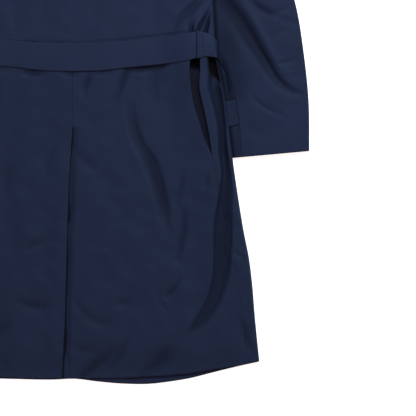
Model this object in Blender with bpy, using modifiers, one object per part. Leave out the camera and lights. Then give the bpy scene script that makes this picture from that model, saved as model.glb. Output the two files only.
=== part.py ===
"""A trench coat laid flat on its front, seen from the back.

The coat lies face down on a level surface at z = 0. X = 0 is the centre back, +Y runs to the neck.
Tables and sizes are in millimetres, with y counted from the middle of the belt at the centre back,
and MM turns them into metres. Every cloth piece is an open sheet of points with a Solidify wall.
"""
import bisect
import math

import bmesh
import bpy
import numpy as np

MM = 0.001

# Cloth and seams
WALL = 1.6            # gabardine with its turned edges
SEAM = 0.3            # gap between two pieces that are sewn together
FOLDED_SEAM = 0.9     # the same where folds tilt the walls on both sides of the seam
LAY = 0.4             # gap under a piece that lies on another

# Lengths from the waist
NECK_Y = 385.0        # back neck at the centre
NECK_POINT = (85.0, 400.0)
SHOULDER = (205.0, 350.0)
FRONT_NECK_Y = 322.0
UNDERARM_Y = 140.0

# Heights above the surface
MID_HEIGHT = 10.0     # the layers in the middle of the body
WAIST_HEIGHT = 12.6   # the same under the belt, with the buckle below
SHOULDER_HEIGHT = 9.0
SEAM_HEIGHT = 2 * WALL + SEAM
OVERLAP = 86.0        # each front runs this far past the centre front

# Belt and buckle
BELT_WALL = 2.4
BELT_MARGIN = 6.0     # cloth stays lifted this far past the belt's edges
BELT_FADE = 24.0
BUCKLE = (66.0, 60.0, 2.5)
BUCKLE_BAR = 6.0
BELT_LIFT = BELT_WALL + LAY
BUCKLE_LIFT = BUCKLE[2] + LAY

# Vent at the centre back, the left skirt on top
VENT_TOP_Y = -123.0
UNDERLAP = 45.0

# Pocket, loops, straps, collar
POCKET_DEPTH = 8.0
POCKET_GAP = 0.9
LOOP_X = (217.0, 228.0)
COLLAR_DEPTH = 62.0
COLLAR_WALL = 1.8
COLLAR_SPREAD = 0.42
COLLAR_ROLL = 7.0
COLLAR_END_X = 34.0
EDGE_ANGLES = (22.0, 58.0, 90.0, 122.0, 158.0)

# The body from underarm to hem: the side edge, the front's edge at the side seam, how far the seam
# gapes at the pocket's mouth, the reach of the rounded edge, and the height of the cloth beside it.
BODY = {
    "columns": ("y", "edge", "seam", "mouth", "reach", "loft"),
    "rows": (
        (150, 241.5, 229.0, 0.0, 6.0, 11.0),
        (100, 245.7, 231.0, 0.0, 6.0, 14.0),
        (60, 248.0, 227.0, 0.0, 6.0, 19.0),
        (22, 250.5, 222.0, 0.0, 5.5, 24.0),
        (-4, 252.5, 221.0, 14.0, 5.0, 24.0),
        (-20, 256.0, 221.4, 16.7, 5.0, 23.0),
        (-55, 263.5, 221.6, 15.6, 5.0, 22.0),
        (-87, 269.0, 229.0, 16.0, 5.5, 20.5),
        (-110, 272.0, 234.0, 13.0, 6.0, 19.5),
        (-144, 276.0, 242.0, 9.5, 6.0, 18.0),
        (-171, 279.5, 247.0, 3.6, 6.0, 17.0),
        (-186, 281.5, 250.0, 0.0, 6.0, 17.0),
        (-244, 290.0, 260.0, 0.0, 6.0, 16.0),
        (-305, 300.0, 270.0, 0.0, 6.0, 15.0),
        (-354, 309.5, 278.0, 0.0, 6.0, 14.5),
        (-390, 314.0, 283.0, 0.0, 6.0, 14.0),
        (-455, 319.5, 291.0, 0.0, 5.5, 12.0),
        (-545, 328.5, 303.0, 0.0, 4.0, 8.5),
    ),
}

# Lines across the body, by the distance from the centre.
BELT = {
    "columns": ("x", "top", "bottom"),
    "rows": (
        (0, 25.0, -24.5), (50, 25.5, -23.0), (100, 29.0, -17.5), (153, 34.5, -12.3),
        (195, 41.0, -7.0), (212, 43.6, -3.5), (226, 43.0, 0.5), (240, 34.0, 0.6), (256, 22.0, -1.5),
    ),
}
HEM = {
    "columns": ("x", "back", "front"),
    "rows": (
        (0, -562.0, -563.0), (45, -562.0, -567.5), (85, -561.5, -571.0), (139, -558.5, -571.4),
        (167, -557.0, -568.0), (209, -553.0, -561.0), (240, -547.5, -553.0), (293, -539.5, -540.0),
        (332, -531.0, -531.0),
    ),
}
ARMHOLE = {
    "columns": ("y", "x"),
    "rows": ((140, 229.0), (160, 218.0), (190, 209.0), (240, 203.0), (290, 201.0), (350, 205.0)),
}
VENT_EDGE = {
    "columns": ("y", "x"),
    "rows": ((-123, -0.4), (-200, -5.4), (-302, -9.4), (-402, -12.0), (-477, -14.4), (-566, -19.4)),
}

# Troughs in the body's cloth: the path of the deepest line, its half width, and its depth at both
# ends. The first group is on the right half of the back and the second on the left half.
BODY_FOLDS = {
    "columns": ("path", "half_width", "depth_start", "depth_end"),
    "rows": (
        # under the belt and down the side, beside the ridge of the pocket's edge
        (((247, 22), (247, -12), (250, -40), (256, -92), (261, -157), (267, -223), (268, -288)), 8, 17, 6),
        (((268, -270), (264, -330), (259, -385), (245, -432), (222, -466), (197, -488)), 14, 8, 3),
        (((203, 8), (204, -30), (207, -66)), 7, 9, 3),
        # long soft folds of the skirt
        (((102, -82), (108, -112), (116, -136), (131, -157), (143, -187), (153, -222), (164, -268), (169, -306)),
         9, 1, 4),
        (((193, -212), (187, -250), (195, -292), (190, -330), (182, -356)), 10, 3, 3),
        (((30, -30), (26, -48), (18, -66)), 8, 4, 0),
        (((96, -22), (86, -42), (80, -66), (66, -84)), 9, 4, 0),
        (((20, -160), (32, -184), (50, -208)), 11, 2, 1),
        (((8, -430), (33, -460), (66, -466)), 12, 2, 1),
        (((112, -552), (152, -514), (170, -500)), 15, 3, 1),
        (((26, -552), (58, -525), (82, -508)), 11, 2, 1),
        (((291, -458), (309, -510)), 8, 2, 2),
        # over the belt, drawn towards the underarm
        (((172, 50), (190, 72), (212, 88), (228, 101), (232, 130)), 9, 3, 4),
        (((205, 44), (214, 56), (226, 72), (236, 96)), 6, 5, 4),
        (((38, 40), (37, 72), (40, 110), (36, 170)), 14, 2, 1),
        (((120, 330), (150, 270), (170, 200), (196, 150)), 16, 1, 4),
        # left half
        (((-247, 20), (-248, -30), (-257, -98), (-262, -160), (-271, -236), (-274, -310)), 8, 15, 6),
        (((-273, -296), (-266, -352), (-252, -404), (-228, -440), (-204, -452)), 14, 7, 3),
        (((-202, 8), (-203, -30), (-206, -62)), 7, 9, 3),
        (((-92, -64), (-104, -112), (-128, -152), (-147, -205), (-152, -262), (-149, -322)), 10, 1, 4),
        (((-188, -190), (-180, -244), (-186, -300), (-180, -344)), 10, 3, 3),
        (((-40, -30), (-46, -52), (-60, -78)), 8, 3, 0),
        (((-118, -20), (-108, -46), (-104, -70)), 9, 4, 0),
        (((-96, -548), (-134, -506), (-160, -482)), 15, 3, 1),
        (((-170, 52), (-192, 76), (-216, 96), (-230, 128)), 9, 3, 4),
        (((-207, 45), (-218, 62), (-232, 92)), 6, 5, 4),
        (((-60, 40), (-64, 84), (-58, 140)), 14, 2, 1),
        (((-118, 322), (-146, 262), (-172, 196), (-198, 148)), 16, 1, 4),
    ),
}

# The sleeve from armhole to cuff: its inner edge's y, its outer edge, its height, and where the two
# seams lie across it (the hind one on top, the fore one underneath).
SLEEVE = {
    "columns": ("row", "inner_y", "outer_x", "outer_y", "reach", "height", "hind", "fore"),
    "rows": (
        (0.00, 141, 205.6, 350, 3.0, 9.0, 0.19, 0.16),
        (0.12, 120, 264, 323, 4.0, 13.0, 0.13, 0.20),
        (0.25, 92, 324, 262, 4.5, 17.0, 0.07, 0.24),
        (0.40, 54, 366, 172, 5.0, 19.5, 0.05, 0.28),
        (0.55, 4, 391.5, 90, 5.0, 19.5, 0.06, 0.30),
        (0.70, -52, 405, 8, 5.0, 17.0, 0.09, 0.31),
        (0.85, -112, 413.5, -76, 4.5, 14.0, 0.10, 0.32),
        (1.00, -176, 414.8, -163.6, 4.0, 10.5, 0.10, 0.32),
    ),
}
SLEEVE_GAP = 1.2      # the sleeve lies this far from the body's side

SLEEVE_FOLDS = {
    "columns": ("path", "half_width", "depth_start", "depth_end"),
    "rows": (
        (((268, 112), (274, 92), (288, 74), (306, 50), (322, 24), (340, -6), (356, -34), (376, -54), (398, -66)),
         12, 8, 2),
        (((300, 120), (314, 96), (334, 84), (352, 76), (372, 74), (392, 62)), 9, 5, 1),
        (((316, -70), (334, -86), (352, -96), (374, -106)), 9, 3, 1),
        (((354, -12), (388, -8)), 8, 3, 1),
        (((250, 250), (280, 214), (296, 170), (300, 130)), 14, 5, 5),
    ),
}

SKIRT_ROWS = (-0.05, -0.1, -0.15, -0.2, -0.25, -0.3, -0.35, -0.4, -0.45, -0.5, -0.55, -0.6,
              -0.66, -0.72, -0.78, -0.84, -0.9, -0.95, -1.0)
BODICE_ROWS = (0.07, 0.15, 0.23)
ARMHOLE_ROWS = (0.38, 0.45, 0.55, 0.66, 0.77, 0.88, 0.95, 1.0)
BACK_SHARES = (0.1, 0.2, 0.3, 0.4, 0.5, 0.6, 0.7, 0.79, 0.87, 0.94, 1.0)
FRONT_SHARES = (0.0, 0.25, 0.5, 0.75, 1.0)
UNDER_SHARES = (0.3, 0.65, 1.0)
STEP_X = (100.0, OVERLAP)   # the inner front steps up between these, to lie on the outer one
INNER_XS = (OVERLAP, 57.0, 28.0, -28.0, -57.0, -OVERLAP)

COLOURS = {
    "cloth": (0.016, 0.025, 0.058, 1.0),
    "belt": (0.018, 0.026, 0.060, 1.0),
    "inside": (0.010, 0.014, 0.030, 1.0),
    "buckle": (0.030, 0.030, 0.034, 1.0),
}


def look_up(table, name, key):
    """A column of a table at a key in its first column, smoothly between the rows."""
    if "curves" not in table:
        rows = np.array(sorted(table["rows"]), float)
        table["keys"] = rows[:, 0].tolist()
        table["curves"] = {
            title: (rows[:, i].tolist(), np.gradient(rows[:, i], rows[:, 0]).tolist())
            for i, title in enumerate(table["columns"])
        }
    keys = table["keys"]
    values, slopes = table["curves"][name]
    key = min(max(key, keys[0]), keys[-1])
    i = min(bisect.bisect_right(keys, key) - 1, len(keys) - 2)
    span = keys[i + 1] - keys[i]
    t = (key - keys[i]) / span
    start, end = values[i], values[i + 1]
    return (start * (1 + 2 * t) * (1 - t) ** 2 + end * t * t * (3 - 2 * t)
            + span * (slopes[i] * t * (1 - t) ** 2 - slopes[i + 1] * t * t * (1 - t)))


def mix(start, end, share):
    """The value a share of the way from start to end."""
    return start + (end - start) * share


def ease(value):
    """0 below 0, 1 above 1, smooth between."""
    t = min(max(value, 0.0), 1.0)
    return t * t * (3 - 2 * t)


def fold_depth(folds, x, y):
    """How far the troughs lower the cloth at a point."""
    depth = 0.0
    for path, half_width, depth_start, depth_end in folds["rows"]:
        margin = 2.6 * half_width
        if not (min(p[0] for p in path) - margin < x < max(p[0] for p in path) + margin):
            continue
        if not (min(p[1] for p in path) - margin < y < max(p[1] for p in path) + margin):
            continue
        best, best_share = margin, 0.0
        for i, ((ax, ay), (bx, by)) in enumerate(zip(path, path[1:])):
            run_x, run_y = bx - ax, by - ay
            t = ((x - ax) * run_x + (y - ay) * run_y) / (run_x ** 2 + run_y ** 2)
            t = min(max(t, 0.0), 1.0)
            distance = math.hypot(x - ax - t * run_x, y - ay - t * run_y)
            if distance < best:
                best, best_share = distance, (i + t) / (len(path) - 1)
        if best < margin:
            depth += mix(depth_start, depth_end, best_share) * math.exp(-(best / half_width) ** 2)
    return depth


def shoulder_line(x):
    """The y of the shoulder seam, carried on past the armhole."""
    slope = (SHOULDER[1] - NECK_POINT[1]) / (SHOULDER[0] - NECK_POINT[0])
    return NECK_POINT[1] + slope * (abs(x) - NECK_POINT[0])


def top_line(x, neck_y):
    """The upper edge of the body: a neck curve between two shoulder seams."""
    if abs(x) >= NECK_POINT[0]:
        return shoulder_line(x)
    return neck_y + (NECK_POINT[1] - neck_y) * (abs(x) / NECK_POINT[0]) ** 2.2


def row_line(row, x, layer):
    """The y of a row at x. Rows -1, 0 and 1 are the belt's lower edge, middle and upper edge, rows
    -2 and 2 its margins, -3 is the hem and 3 the shoulder and neck."""
    x = abs(x)
    low, high = look_up(BELT, "bottom", x), look_up(BELT, "top", x)
    if abs(row) <= 1:
        return mix((low + high) / 2, high if row > 0 else low, abs(row))
    if row < -2:
        return mix(low - BELT_MARGIN, look_up(HEM, layer, x), -2 - row)
    if row < -1:
        return low - BELT_MARGIN * (-1 - row)
    if row <= 2:
        return high + BELT_MARGIN * (row - 1)
    neck_y = NECK_Y if layer == "back" else FRONT_NECK_Y
    return mix(high + BELT_MARGIN, top_line(x, neck_y), row - 2)


def under_height(x, y):
    """The height of the fronts' outer face: 0, but for the lift over the belt and its buckle."""
    low, high = look_up(BELT, "bottom", abs(x)), look_up(BELT, "top", abs(x))
    past = max(low - y, y - high) - BELT_MARGIN
    lift = BELT_LIFT + BUCKLE_LIFT * (1 - ease((abs(x) - 45.0) / 40.0))
    collar = ease((y - 190.0) / 40.0) * (COLLAR_WALL + LAY) * (1 - ease((abs(x) - 150.0) / 30.0))
    return max(lift * (1 - ease(past / BELT_FADE)), collar)


def inner_rise(x):
    """How far the inner front lies above the outer one, where the two overlap."""
    return (WALL + SEAM) * ease((STEP_X[0] - abs(x)) / (STEP_X[0] - STEP_X[1]))


def back_height(x, y, folded):
    """The height of the outer face of the upper layer."""
    waist = math.exp(-(y / 70.0) ** 2)
    middle = mix(MID_HEIGHT, WAIST_HEIGHT, waist)
    loft = look_up(BODY, "loft", y)
    inward = look_up(BODY, "edge", y) - abs(x)
    height = mix(loft, middle, ease((inward - 35.0) / 70.0))
    height = mix(height, SHOULDER_HEIGHT, ease((y - UNDERARM_Y) / 60.0))
    seam_height = SEAM_HEIGHT + under_height(x, y) + 1.4 * inner_rise(abs(x) - 20.0)
    height = mix(seam_height, height, ease((shoulder_line(x) - y) / 30.0 + 0.02))
    if folded:
        floor = under_height(x, y) + 2 * WALL + 0.8 + inner_rise(abs(x) - 15.0)
        height = max(height - fold_depth(BODY_FOLDS, x, y), min(height, floor))
    return height


def back_edge(y):
    """The back's edge at the side seam; it stands away from the front's at the pocket's mouth."""
    return look_up(BODY, "seam", y) - max(look_up(BODY, "mouth", y), 0.0)


def body_side(y):
    """The half width of the upper layer where the bodice ends: side seam, then armhole."""
    if y > UNDERARM_Y:
        return look_up(ARMHOLE, "x", y)
    return back_edge(y)


def ring_point(side, column, row, layer, out=0.0, folded=True):
    """A point of the body's outer face. column is (kind, function of y): a top or under column
    gives x, and an edge column the angle round the rounded side, 0 on top. out moves it outwards."""
    kind, value = column
    y = row_line(row, 200.0, layer)
    for _ in range(8):
        edge = look_up(BODY, "edge", y)
        reach = look_up(BODY, "reach", y)
        angle = math.radians(value(y)) if kind == "edge" else 0.0
        x = edge - reach + reach * math.sin(angle) if kind == "edge" else value(y)
        y = row_line(row, x, layer)
    if kind == "top":
        low = (look_up(BODY, "loft", y) + under_height(x, y)) / 2 + 2.0
        rim = 1 - ease((edge - reach - x) / 6.0)
        height = back_height(side * x, y, folded)
        return side * x, y, mix(height, max(height, low), rim) + out
    if kind == "under":
        return side * x, y, under_height(x, y) - out
    high = back_height(side * (edge - reach), y, False)
    low = under_height(edge - reach, y)
    middle = (high + low) / 2
    if angle < math.pi / 2:
        high = max(back_height(side * (edge - reach), y, folded), middle + 2.0)
    rise = (high - middle if angle < math.pi / 2 else middle - low) + out
    x = edge - reach + (reach + out) * math.sin(angle)
    return side * x, y, middle + rise * math.cos(angle)


def material(name, roughness=0.8, metallic=0.0):
    """One plain finish, by the name of its colour."""
    finish = bpy.data.materials.get(name) or bpy.data.materials.new(name)
    finish.use_nodes = True
    shader = finish.node_tree.nodes["Principled BSDF"]
    shader.inputs["Base Color"].default_value = COLOURS[name]
    shader.inputs["Roughness"].default_value = roughness
    shader.inputs["Metallic"].default_value = metallic
    return finish


def sheet(name, columns, rows, point, wall=WALL, flip=False, keep=None, finish="cloth"):
    """A cloth piece: a net of outer points, given a wall on its inner side."""
    net = bmesh.new()
    corners = {}

    def corner(i, j):
        if (i, j) not in corners:
            spot = point(columns[i], rows[j])
            corners[i, j] = net.verts.new([value * MM for value in spot])
        return corners[i, j]

    for j in range(len(rows) - 1):
        for i in range(len(columns) - 1):
            if keep and not keep(i, j):
                continue
            loop = [corner(i, j), corner(i + 1, j), corner(i + 1, j + 1), corner(i, j + 1)]
            net.faces.new(loop[::-1] if flip else loop)
    mesh = bpy.data.meshes.new(name)
    net.to_mesh(mesh)
    net.free()
    return place(name, mesh, wall, finish)


def place(name, mesh, wall, finish):
    """Puts a mesh in the coat's collection, with its wall and its own finish."""
    mesh.shade_smooth()
    piece = bpy.data.objects.new(name, mesh)
    piece.location.y = ORIGIN_Y * MM
    own = material(finish).copy()
    own.name = name + "_finish"
    mesh.materials.append(own)
    if wall:
        solid = piece.modifiers.new("wall", "SOLIDIFY")
        solid.thickness = wall * MM
        solid.offset = -1.0
    coat.objects.link(piece)
    return piece


def back_columns():
    """Columns of the upper layer from the centre to the back's side edge, as shares of its width."""
    return [("top", lambda y, s=s: s * body_side(y)) for s in BACK_SHARES]


def front_columns():
    """Columns of a front on the upper layer, from the side seam to the rounded edge."""
    def across(share):
        return lambda y: mix(look_up(BODY, "seam", y) + FOLDED_SEAM / 2,
                             look_up(BODY, "edge", y) - look_up(BODY, "reach", y), share)
    return [("top", across(s)) for s in FRONT_SHARES]


def edge_columns():
    """Columns round the body's side."""
    return [("edge", lambda y, a=a: a) for a in EDGE_ANGLES]


def under_start(y):
    """Where the lower layer begins: inside the rounded edge, and at the armhole above it."""
    if y > UNDERARM_Y - 0.5:
        return look_up(ARMHOLE, "x", y)
    return look_up(BODY, "edge", y) - look_up(BODY, "reach", y)


def under_columns():
    """Columns of the lower layer, from the side to where the fronts overlap."""
    return [("under", lambda y, s=s: mix(under_start(y), STEP_X[0], s)) for s in (0.0,) + UNDER_SHARES]


def underarm_row():
    """The row whose line meets the side at the underarm."""
    low = row_line(2, 229.0, "back")
    return 2 + (UNDERARM_Y - low) / (row_line(3, 229.0, "back") - low)


def build_bodice():
    """The upper back, cut in one, from the waist seam under the belt to neck and shoulders."""
    half = back_columns()
    columns = [(-1, c) for c in half[::-1]] + [(1, ("top", lambda y: 0.0))] + [(1, c) for c in half]
    rows = [0.0, 1.0, 2.0] + [2 + r for r in BODICE_ROWS] + [underarm_row()] + [2 + r for r in ARMHOLE_ROWS]

    def point(column, row):
        side, place_at = column
        x, y, z = ring_point(side, place_at, row, "back")
        inset = FOLDED_SEAM / 2 if place_at is half[-1] else 0.0
        return x - side * inset, y + (FOLDED_SEAM / 2 if row == 0 else 0.0), z

    sheet("back_bodice", columns, rows, point)


def build_skirt(side):
    """A lower back, from the waist seam to the hem. The right one carries the vent's underlap."""
    half = back_columns()
    centre = ("top", lambda y: 0.0)
    lap = [("top", lambda y, x=x: x) for x in (-UNDERLAP, -UNDERLAP / 2, -6.0)] if side > 0 else []
    columns = lap + [centre] + half
    vent_row = -2 - (VENT_TOP_Y - row_line(-2, 0, "back")) / (row_line(-3, 0, "back") - row_line(-2, 0, "back"))
    below = [r for r in SKIRT_ROWS if -2 + r < vent_row - 0.02]
    above = [r for r in SKIRT_ROWS if -2 + r > vent_row + 0.02]
    rows = [0.0, -1.0, -2.0] + [-2 + r for r in above] + [vent_row] + [-2 + r for r in below]
    first_vent_row = rows.index(vent_row)

    def point(column, row):
        x, y, z = ring_point(side, column, row, "back")
        if column is centre:
            x = side * SEAM / 2
            if side < 0 and row < vent_row:
                x = look_up(VENT_EDGE, "x", y)
        if column is half[-1]:
            x -= side * FOLDED_SEAM / 2
        if side > 0 and row <= vent_row and x < 20.0:
            z = min(z, back_height(x, y, False) - (WALL + 2 * LAY) * (1 - ease((x - 1.0) / 16.0)))
        return x, y - (FOLDED_SEAM / 2 if row == 0 else 0.0), z

    name = "back_skirt_right" if side > 0 else "back_skirt_left"
    sheet(name, columns, rows, point, flip=side > 0,
          keep=lambda i, j: i >= len(lap) or j >= first_vent_row)


def build_front(side):
    """A front: from the side seam on the back round the side, and on under the coat to its edge.
    The left front is the outer one, next to the surface, and the right one lies on it."""
    upper = front_columns() + edge_columns()
    columns = upper + under_columns() + [("under", lambda y, x=x: x) for x in INNER_XS]
    rows = ([-2 + r for r in SKIRT_ROWS[::-1]] + [-2.0, -1.0, 0.0, 1.0, 2.0]
            + [2 + r for r in BODICE_ROWS] + [underarm_row()] + [2 + r for r in ARMHOLE_ROWS])
    last_side_row = rows.index(underarm_row())
    armhole = columns[len(upper)]

    def point(column, row):
        x, y, z = ring_point(side, column, row, "front")
        if column is armhole and row > rows[last_side_row]:
            x -= side * FOLDED_SEAM / 2
        if column[0] == "under" and side > 0:
            z += inner_rise(max(x, 0.0))
        return x, y, z

    sheet("front_right" if side > 0 else "front_left", columns, rows, point, flip=side < 0,
          keep=lambda i, j: i >= len(upper) or j < last_side_row)


def build_pocket(side):
    """The facing inside the pocket's mouth, from under the back's edge to under the front's."""
    def beside(share, shift):
        return ("top", lambda y: mix(back_edge(y), look_up(BODY, "seam", y), share) + shift)

    columns = [(beside(0, -12.0), 0.0), (beside(0, -1.0), 0.0), (beside(0.35, 0), POCKET_DEPTH),
               (beside(0.65, 0), POCKET_DEPTH), (beside(1, 1.0), 0.0), (beside(1, 5.0), 0.0)]
    rows = [-1.0, -2.0] + [-2 + r for r in SKIRT_ROWS[:6]]

    def point(column, row):
        place_at, drop = column
        x, y, z = ring_point(side, place_at, row, "back", out=-WALL - POCKET_GAP)
        gap = look_up(BODY, "seam", y) - back_edge(y)
        return x, y, z - drop * ease(gap / 12.0)

    name = "pocket_facing_right" if side > 0 else "pocket_facing_left"
    sheet(name, columns, rows, point, wall=1.2, flip=side > 0, finish="inside")


def build_belt():
    """The belt, round the whole waist, its two ends meeting behind the buckle's bar."""
    half = back_columns()[:-1] + front_columns() + edge_columns() + under_columns()
    half += [("under", lambda y, x=x: x) for x in (86.0, 30.0, SEAM)]
    columns = [(-1, c) for c in half[::-1]] + [(1, ("top", lambda y: 0.0))] + [(1, c) for c in half]

    def point(column, row):
        side, place_at = column
        return ring_point(side, place_at, row, "back", out=LAY + BELT_WALL, folded=False)

    sheet("belt", columns, [-1.0, 0.0, 1.0], point, wall=BELT_WALL, finish="belt")


def build_loop(side):
    """A belt loop: a narrow tape that crosses the belt, sewn to the cloth above and below."""
    rows = [-1.12, -1.0, 0.0, 1.0, 1.12]

    def point(x, row):
        column = ("top", lambda y: x)
        return ring_point(side, column, row, "back", out=2 * (LAY + BELT_WALL) - 0.6, folded=False)

    sheet("belt_loop_right" if side > 0 else "belt_loop_left", LOOP_X, rows, point, wall=WALL,
          flip=side < 0)


def build_buckle():
    """A plain slide buckle on the outer side of the belt: a frame with a middle bar."""
    length, height, depth = BUCKLE
    net = bmesh.new()
    bmesh.ops.create_cube(net, size=1.0)
    bmesh.ops.scale(net, vec=(length * MM, height * MM, depth * MM), verts=net.verts)
    mesh = bpy.data.meshes.new("buckle")
    net.to_mesh(mesh)
    net.free()
    piece = place("buckle", mesh, 0.0, "buckle")
    piece.location.z = depth / 2 * MM
    slot = ((length - 3 * BUCKLE_BAR) / 2, height - 2 * BUCKLE_BAR)
    for side in (-1, 1):
        bpy.ops.mesh.primitive_cube_add(size=1.0)
        cutter = bpy.context.object
        cutter.name = "buckle_slot_left" if side < 0 else "buckle_slot_right"
        cutter.scale = (slot[0] * MM, slot[1] * MM, 3 * depth * MM)
        cutter.location = (side * (slot[0] + BUCKLE_BAR) / 2 * MM, piece.location.y, piece.location.z)
        cutter.hide_render = True
        cutter.display_type = "WIRE"
        for owner in list(cutter.users_collection):
            owner.objects.unlink(cutter)
        cutters.objects.link(cutter)
        cut = piece.modifiers.new(cutter.name, "BOOLEAN")
        cut.operation = "DIFFERENCE"
        cut.object = cutter


def sleeve_head(share):
    """The armhole curve that the sleeve starts from, a seam's gap outside the body's edge."""
    rows = [2 + r for r in ARMHOLE_ROWS]
    corners = [(242.6, 141.0), (229.8, 141.0)]
    for row in rows:
        x, y, _ = ring_point(1, ("top", body_side), row, "back", folded=False)
        corners.append((x + SEAM, y))
    place_at = share * (len(corners) - 1)
    i = min(int(place_at), len(corners) - 2)
    return [mix(corners[i][k], corners[i + 1][k], place_at - i) for k in (0, 1)]


def sleeve_point(around, row, out=0.0, folded=True):
    """A point of the sleeve's outer face. around runs 0 to 1 across the top from the inner edge to
    the outer one, and 1 to 2 back underneath; the first and last tenth of each is the round edge."""
    around = around % 2.0
    under = around > 1.0
    across = 2.0 - around if under else around
    inner_y = look_up(SLEEVE, "inner_y", row)
    belt_gap = BELT_LIFT * math.exp(-((inner_y - 12.0) / 30.0) ** 4)
    inner = np.array((look_up(BODY, "edge", inner_y) + SLEEVE_GAP + belt_gap, inner_y))
    outer = np.array((look_up(SLEEVE, "outer_x", row), look_up(SLEEVE, "outer_y", row)))
    width = float(np.linalg.norm(outer - inner))
    along = (outer - inner) / width
    reach = look_up(SLEEVE, "reach", row)
    arc = 0.08
    turn = min(across / arc, (1.0 - across) / arc, 1.0)
    share = min(max((across - arc) / (1.0 - 2 * arc), 0.0), 1.0)
    round_out = (reach + out) * math.cos(turn * math.pi / 2) * (-1 if across < 0.5 else 1)
    bend = max(1.0 - row / 0.3, 0.0) ** 2
    head = np.array(sleeve_head(share))
    straight = mix(np.array(sleeve_head(0.0)), np.array(sleeve_head(1.0)), share)
    spot = inner + along * (reach + share * (width - 2 * reach)) + bend * (head - straight)
    if row == 0.0:
        spot = head
    x, y = spot + along * round_out
    edge_height = 2.2 * reach + 4.0 * (1 - ease(row / 0.2)) * (1 - share)
    height = mix(edge_height, look_up(SLEEVE, "height", row), ease(min(share, 1 - share) / 0.3))
    height = mix(height, SHOULDER_HEIGHT * (1 - share ** 4) + SEAM_HEIGHT * share ** 4, 1 - ease(row / 0.12))
    if folded:
        height = max(height - fold_depth(SLEEVE_FOLDS, x, y), min(height, 2 * WALL + 1.0))
    lift = height / 2 + out
    z = height / 2 + lift * math.sin(turn * math.pi / 2) * (-1 if under else 1)
    return x, y, z


STRAP_ROWS = (0.75, 0.81, 0.868)
SLEEVE_ROWS = (0.0, 0.06, 0.12, 0.2, 0.28, 0.36, 0.44, 0.52, 0.6, 0.68, *STRAP_ROWS, 0.93, 1.0)


def build_sleeve(side):
    """A two-piece sleeve: the wide top sleeve, and the under sleeve along the inner edge."""
    name = "right" if side > 0 else "left"

    def hind(row):
        return 0.08 + 0.84 * look_up(SLEEVE, "hind", row)

    def fore(row):
        return -0.08 - 0.84 * look_up(SLEEVE, "fore", row)

    def seam(share_gap, row):
        width = 60.0 + 80.0 * row
        return share_gap / width

    def top_point(share, row):
        start, end = hind(row) + seam(FOLDED_SEAM, row), 2.0 + fore(row)
        return mirrored(side, sleeve_point(mix(start, end, share), row))

    def under_point(share, row):
        return mirrored(side, sleeve_point(mix(fore(row) + seam(SEAM, row), hind(row), share), row))

    top_shares = (0.0, 0.07, 0.14, 0.21, 0.28, 0.35, 0.42, 0.475, 0.5, 0.525, 0.55, 0.575, 0.66, 0.77, 0.88, 1.0)
    sheet("sleeve_top_" + name, top_shares, SLEEVE_ROWS, top_point, flip=side > 0)
    under_shares = (0.0, 0.35, 0.62, 0.7, 0.78, 0.86, 1.0)
    sheet("sleeve_under_" + name, under_shares, SLEEVE_ROWS, under_point, flip=side > 0)

    def strap_point(share, row):
        around = mix(fore(row) + seam(SEAM, row), hind(row), share)
        return mirrored(side, sleeve_point(around, row, out=LAY + WALL))

    sheet("sleeve_strap_" + name, under_shares[4:-1] + (0.96,), STRAP_ROWS, strap_point, flip=side > 0)


def mirrored(side, spot):
    """A point of the right side, or its match on the left."""
    return side * spot[0], spot[1], spot[2]


def build_collar():
    """A plain fall collar: over the back neck, round both shoulders and on under the fronts."""
    top = SHOULDER_HEIGHT + LAY + COLLAR_WALL

    def point(around, depth):
        side = 1 if around >= 0 else -1
        around = abs(around)
        end_x = NECK_POINT[0] * (1 + COLLAR_SPREAD * depth)
        end_y = shoulder_line(end_x) + 1.0
        if around <= 1.0:
            centre_y = NECK_Y + COLLAR_ROLL - depth * COLLAR_DEPTH
            return side * around * end_x, mix(centre_y, end_y, around ** 2), top
        if around < 2.0:
            angle = (around - 1.0) * math.pi
            bulge = COLLAR_ROLL * math.sin(angle)
            return side * (end_x + 0.38 * bulge), end_y + 0.92 * bulge, top / 2 * (1 + math.cos(angle))
        run = around - 2.0
        x = mix(end_x, COLLAR_END_X * (1 + COLLAR_SPREAD * depth), run)
        return side * x, mix(end_y, FRONT_NECK_Y - depth * COLLAR_DEPTH, run), 0.0

    steps = (0.0, 0.25, 0.5, 0.75, 1.0, 1.25, 1.5, 1.75, 2.0, 2.35, 2.7, 3.0)
    columns = [-s for s in steps[:0:-1]] + list(steps)
    sheet("collar", columns, (0.0, 0.5, 1.0), point, wall=COLLAR_WALL, flip=True)


ORIGIN_Y = -(NECK_POINT[1] + 7.4 + look_up(HEM, "front", 125.0)) / 2

for stale in list(bpy.data.objects):
    bpy.data.objects.remove(stale)
coat = bpy.data.collections.new("trench_coat")
cutters = bpy.data.collections.new("cutters")
bpy.context.scene.collection.children.link(coat)
bpy.context.scene.collection.children.link(cutters)

build_bodice()
build_belt()
build_buckle()
build_collar()
for half_of_coat in (-1, 1):
    build_skirt(half_of_coat)
    build_front(half_of_coat)
    build_pocket(half_of_coat)
    build_loop(half_of_coat)
    build_sleeve(half_of_coat)
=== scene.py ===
"""A navy trench coat laid flat on its front, seen from the back.

The coat follows the order in which it is sewn: upper back, skirts, fronts, pockets, sleeves, collar,
belt. Sizes are in millimetres, x from the centre back and y from the middle of the belt.
"""
import math

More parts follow.
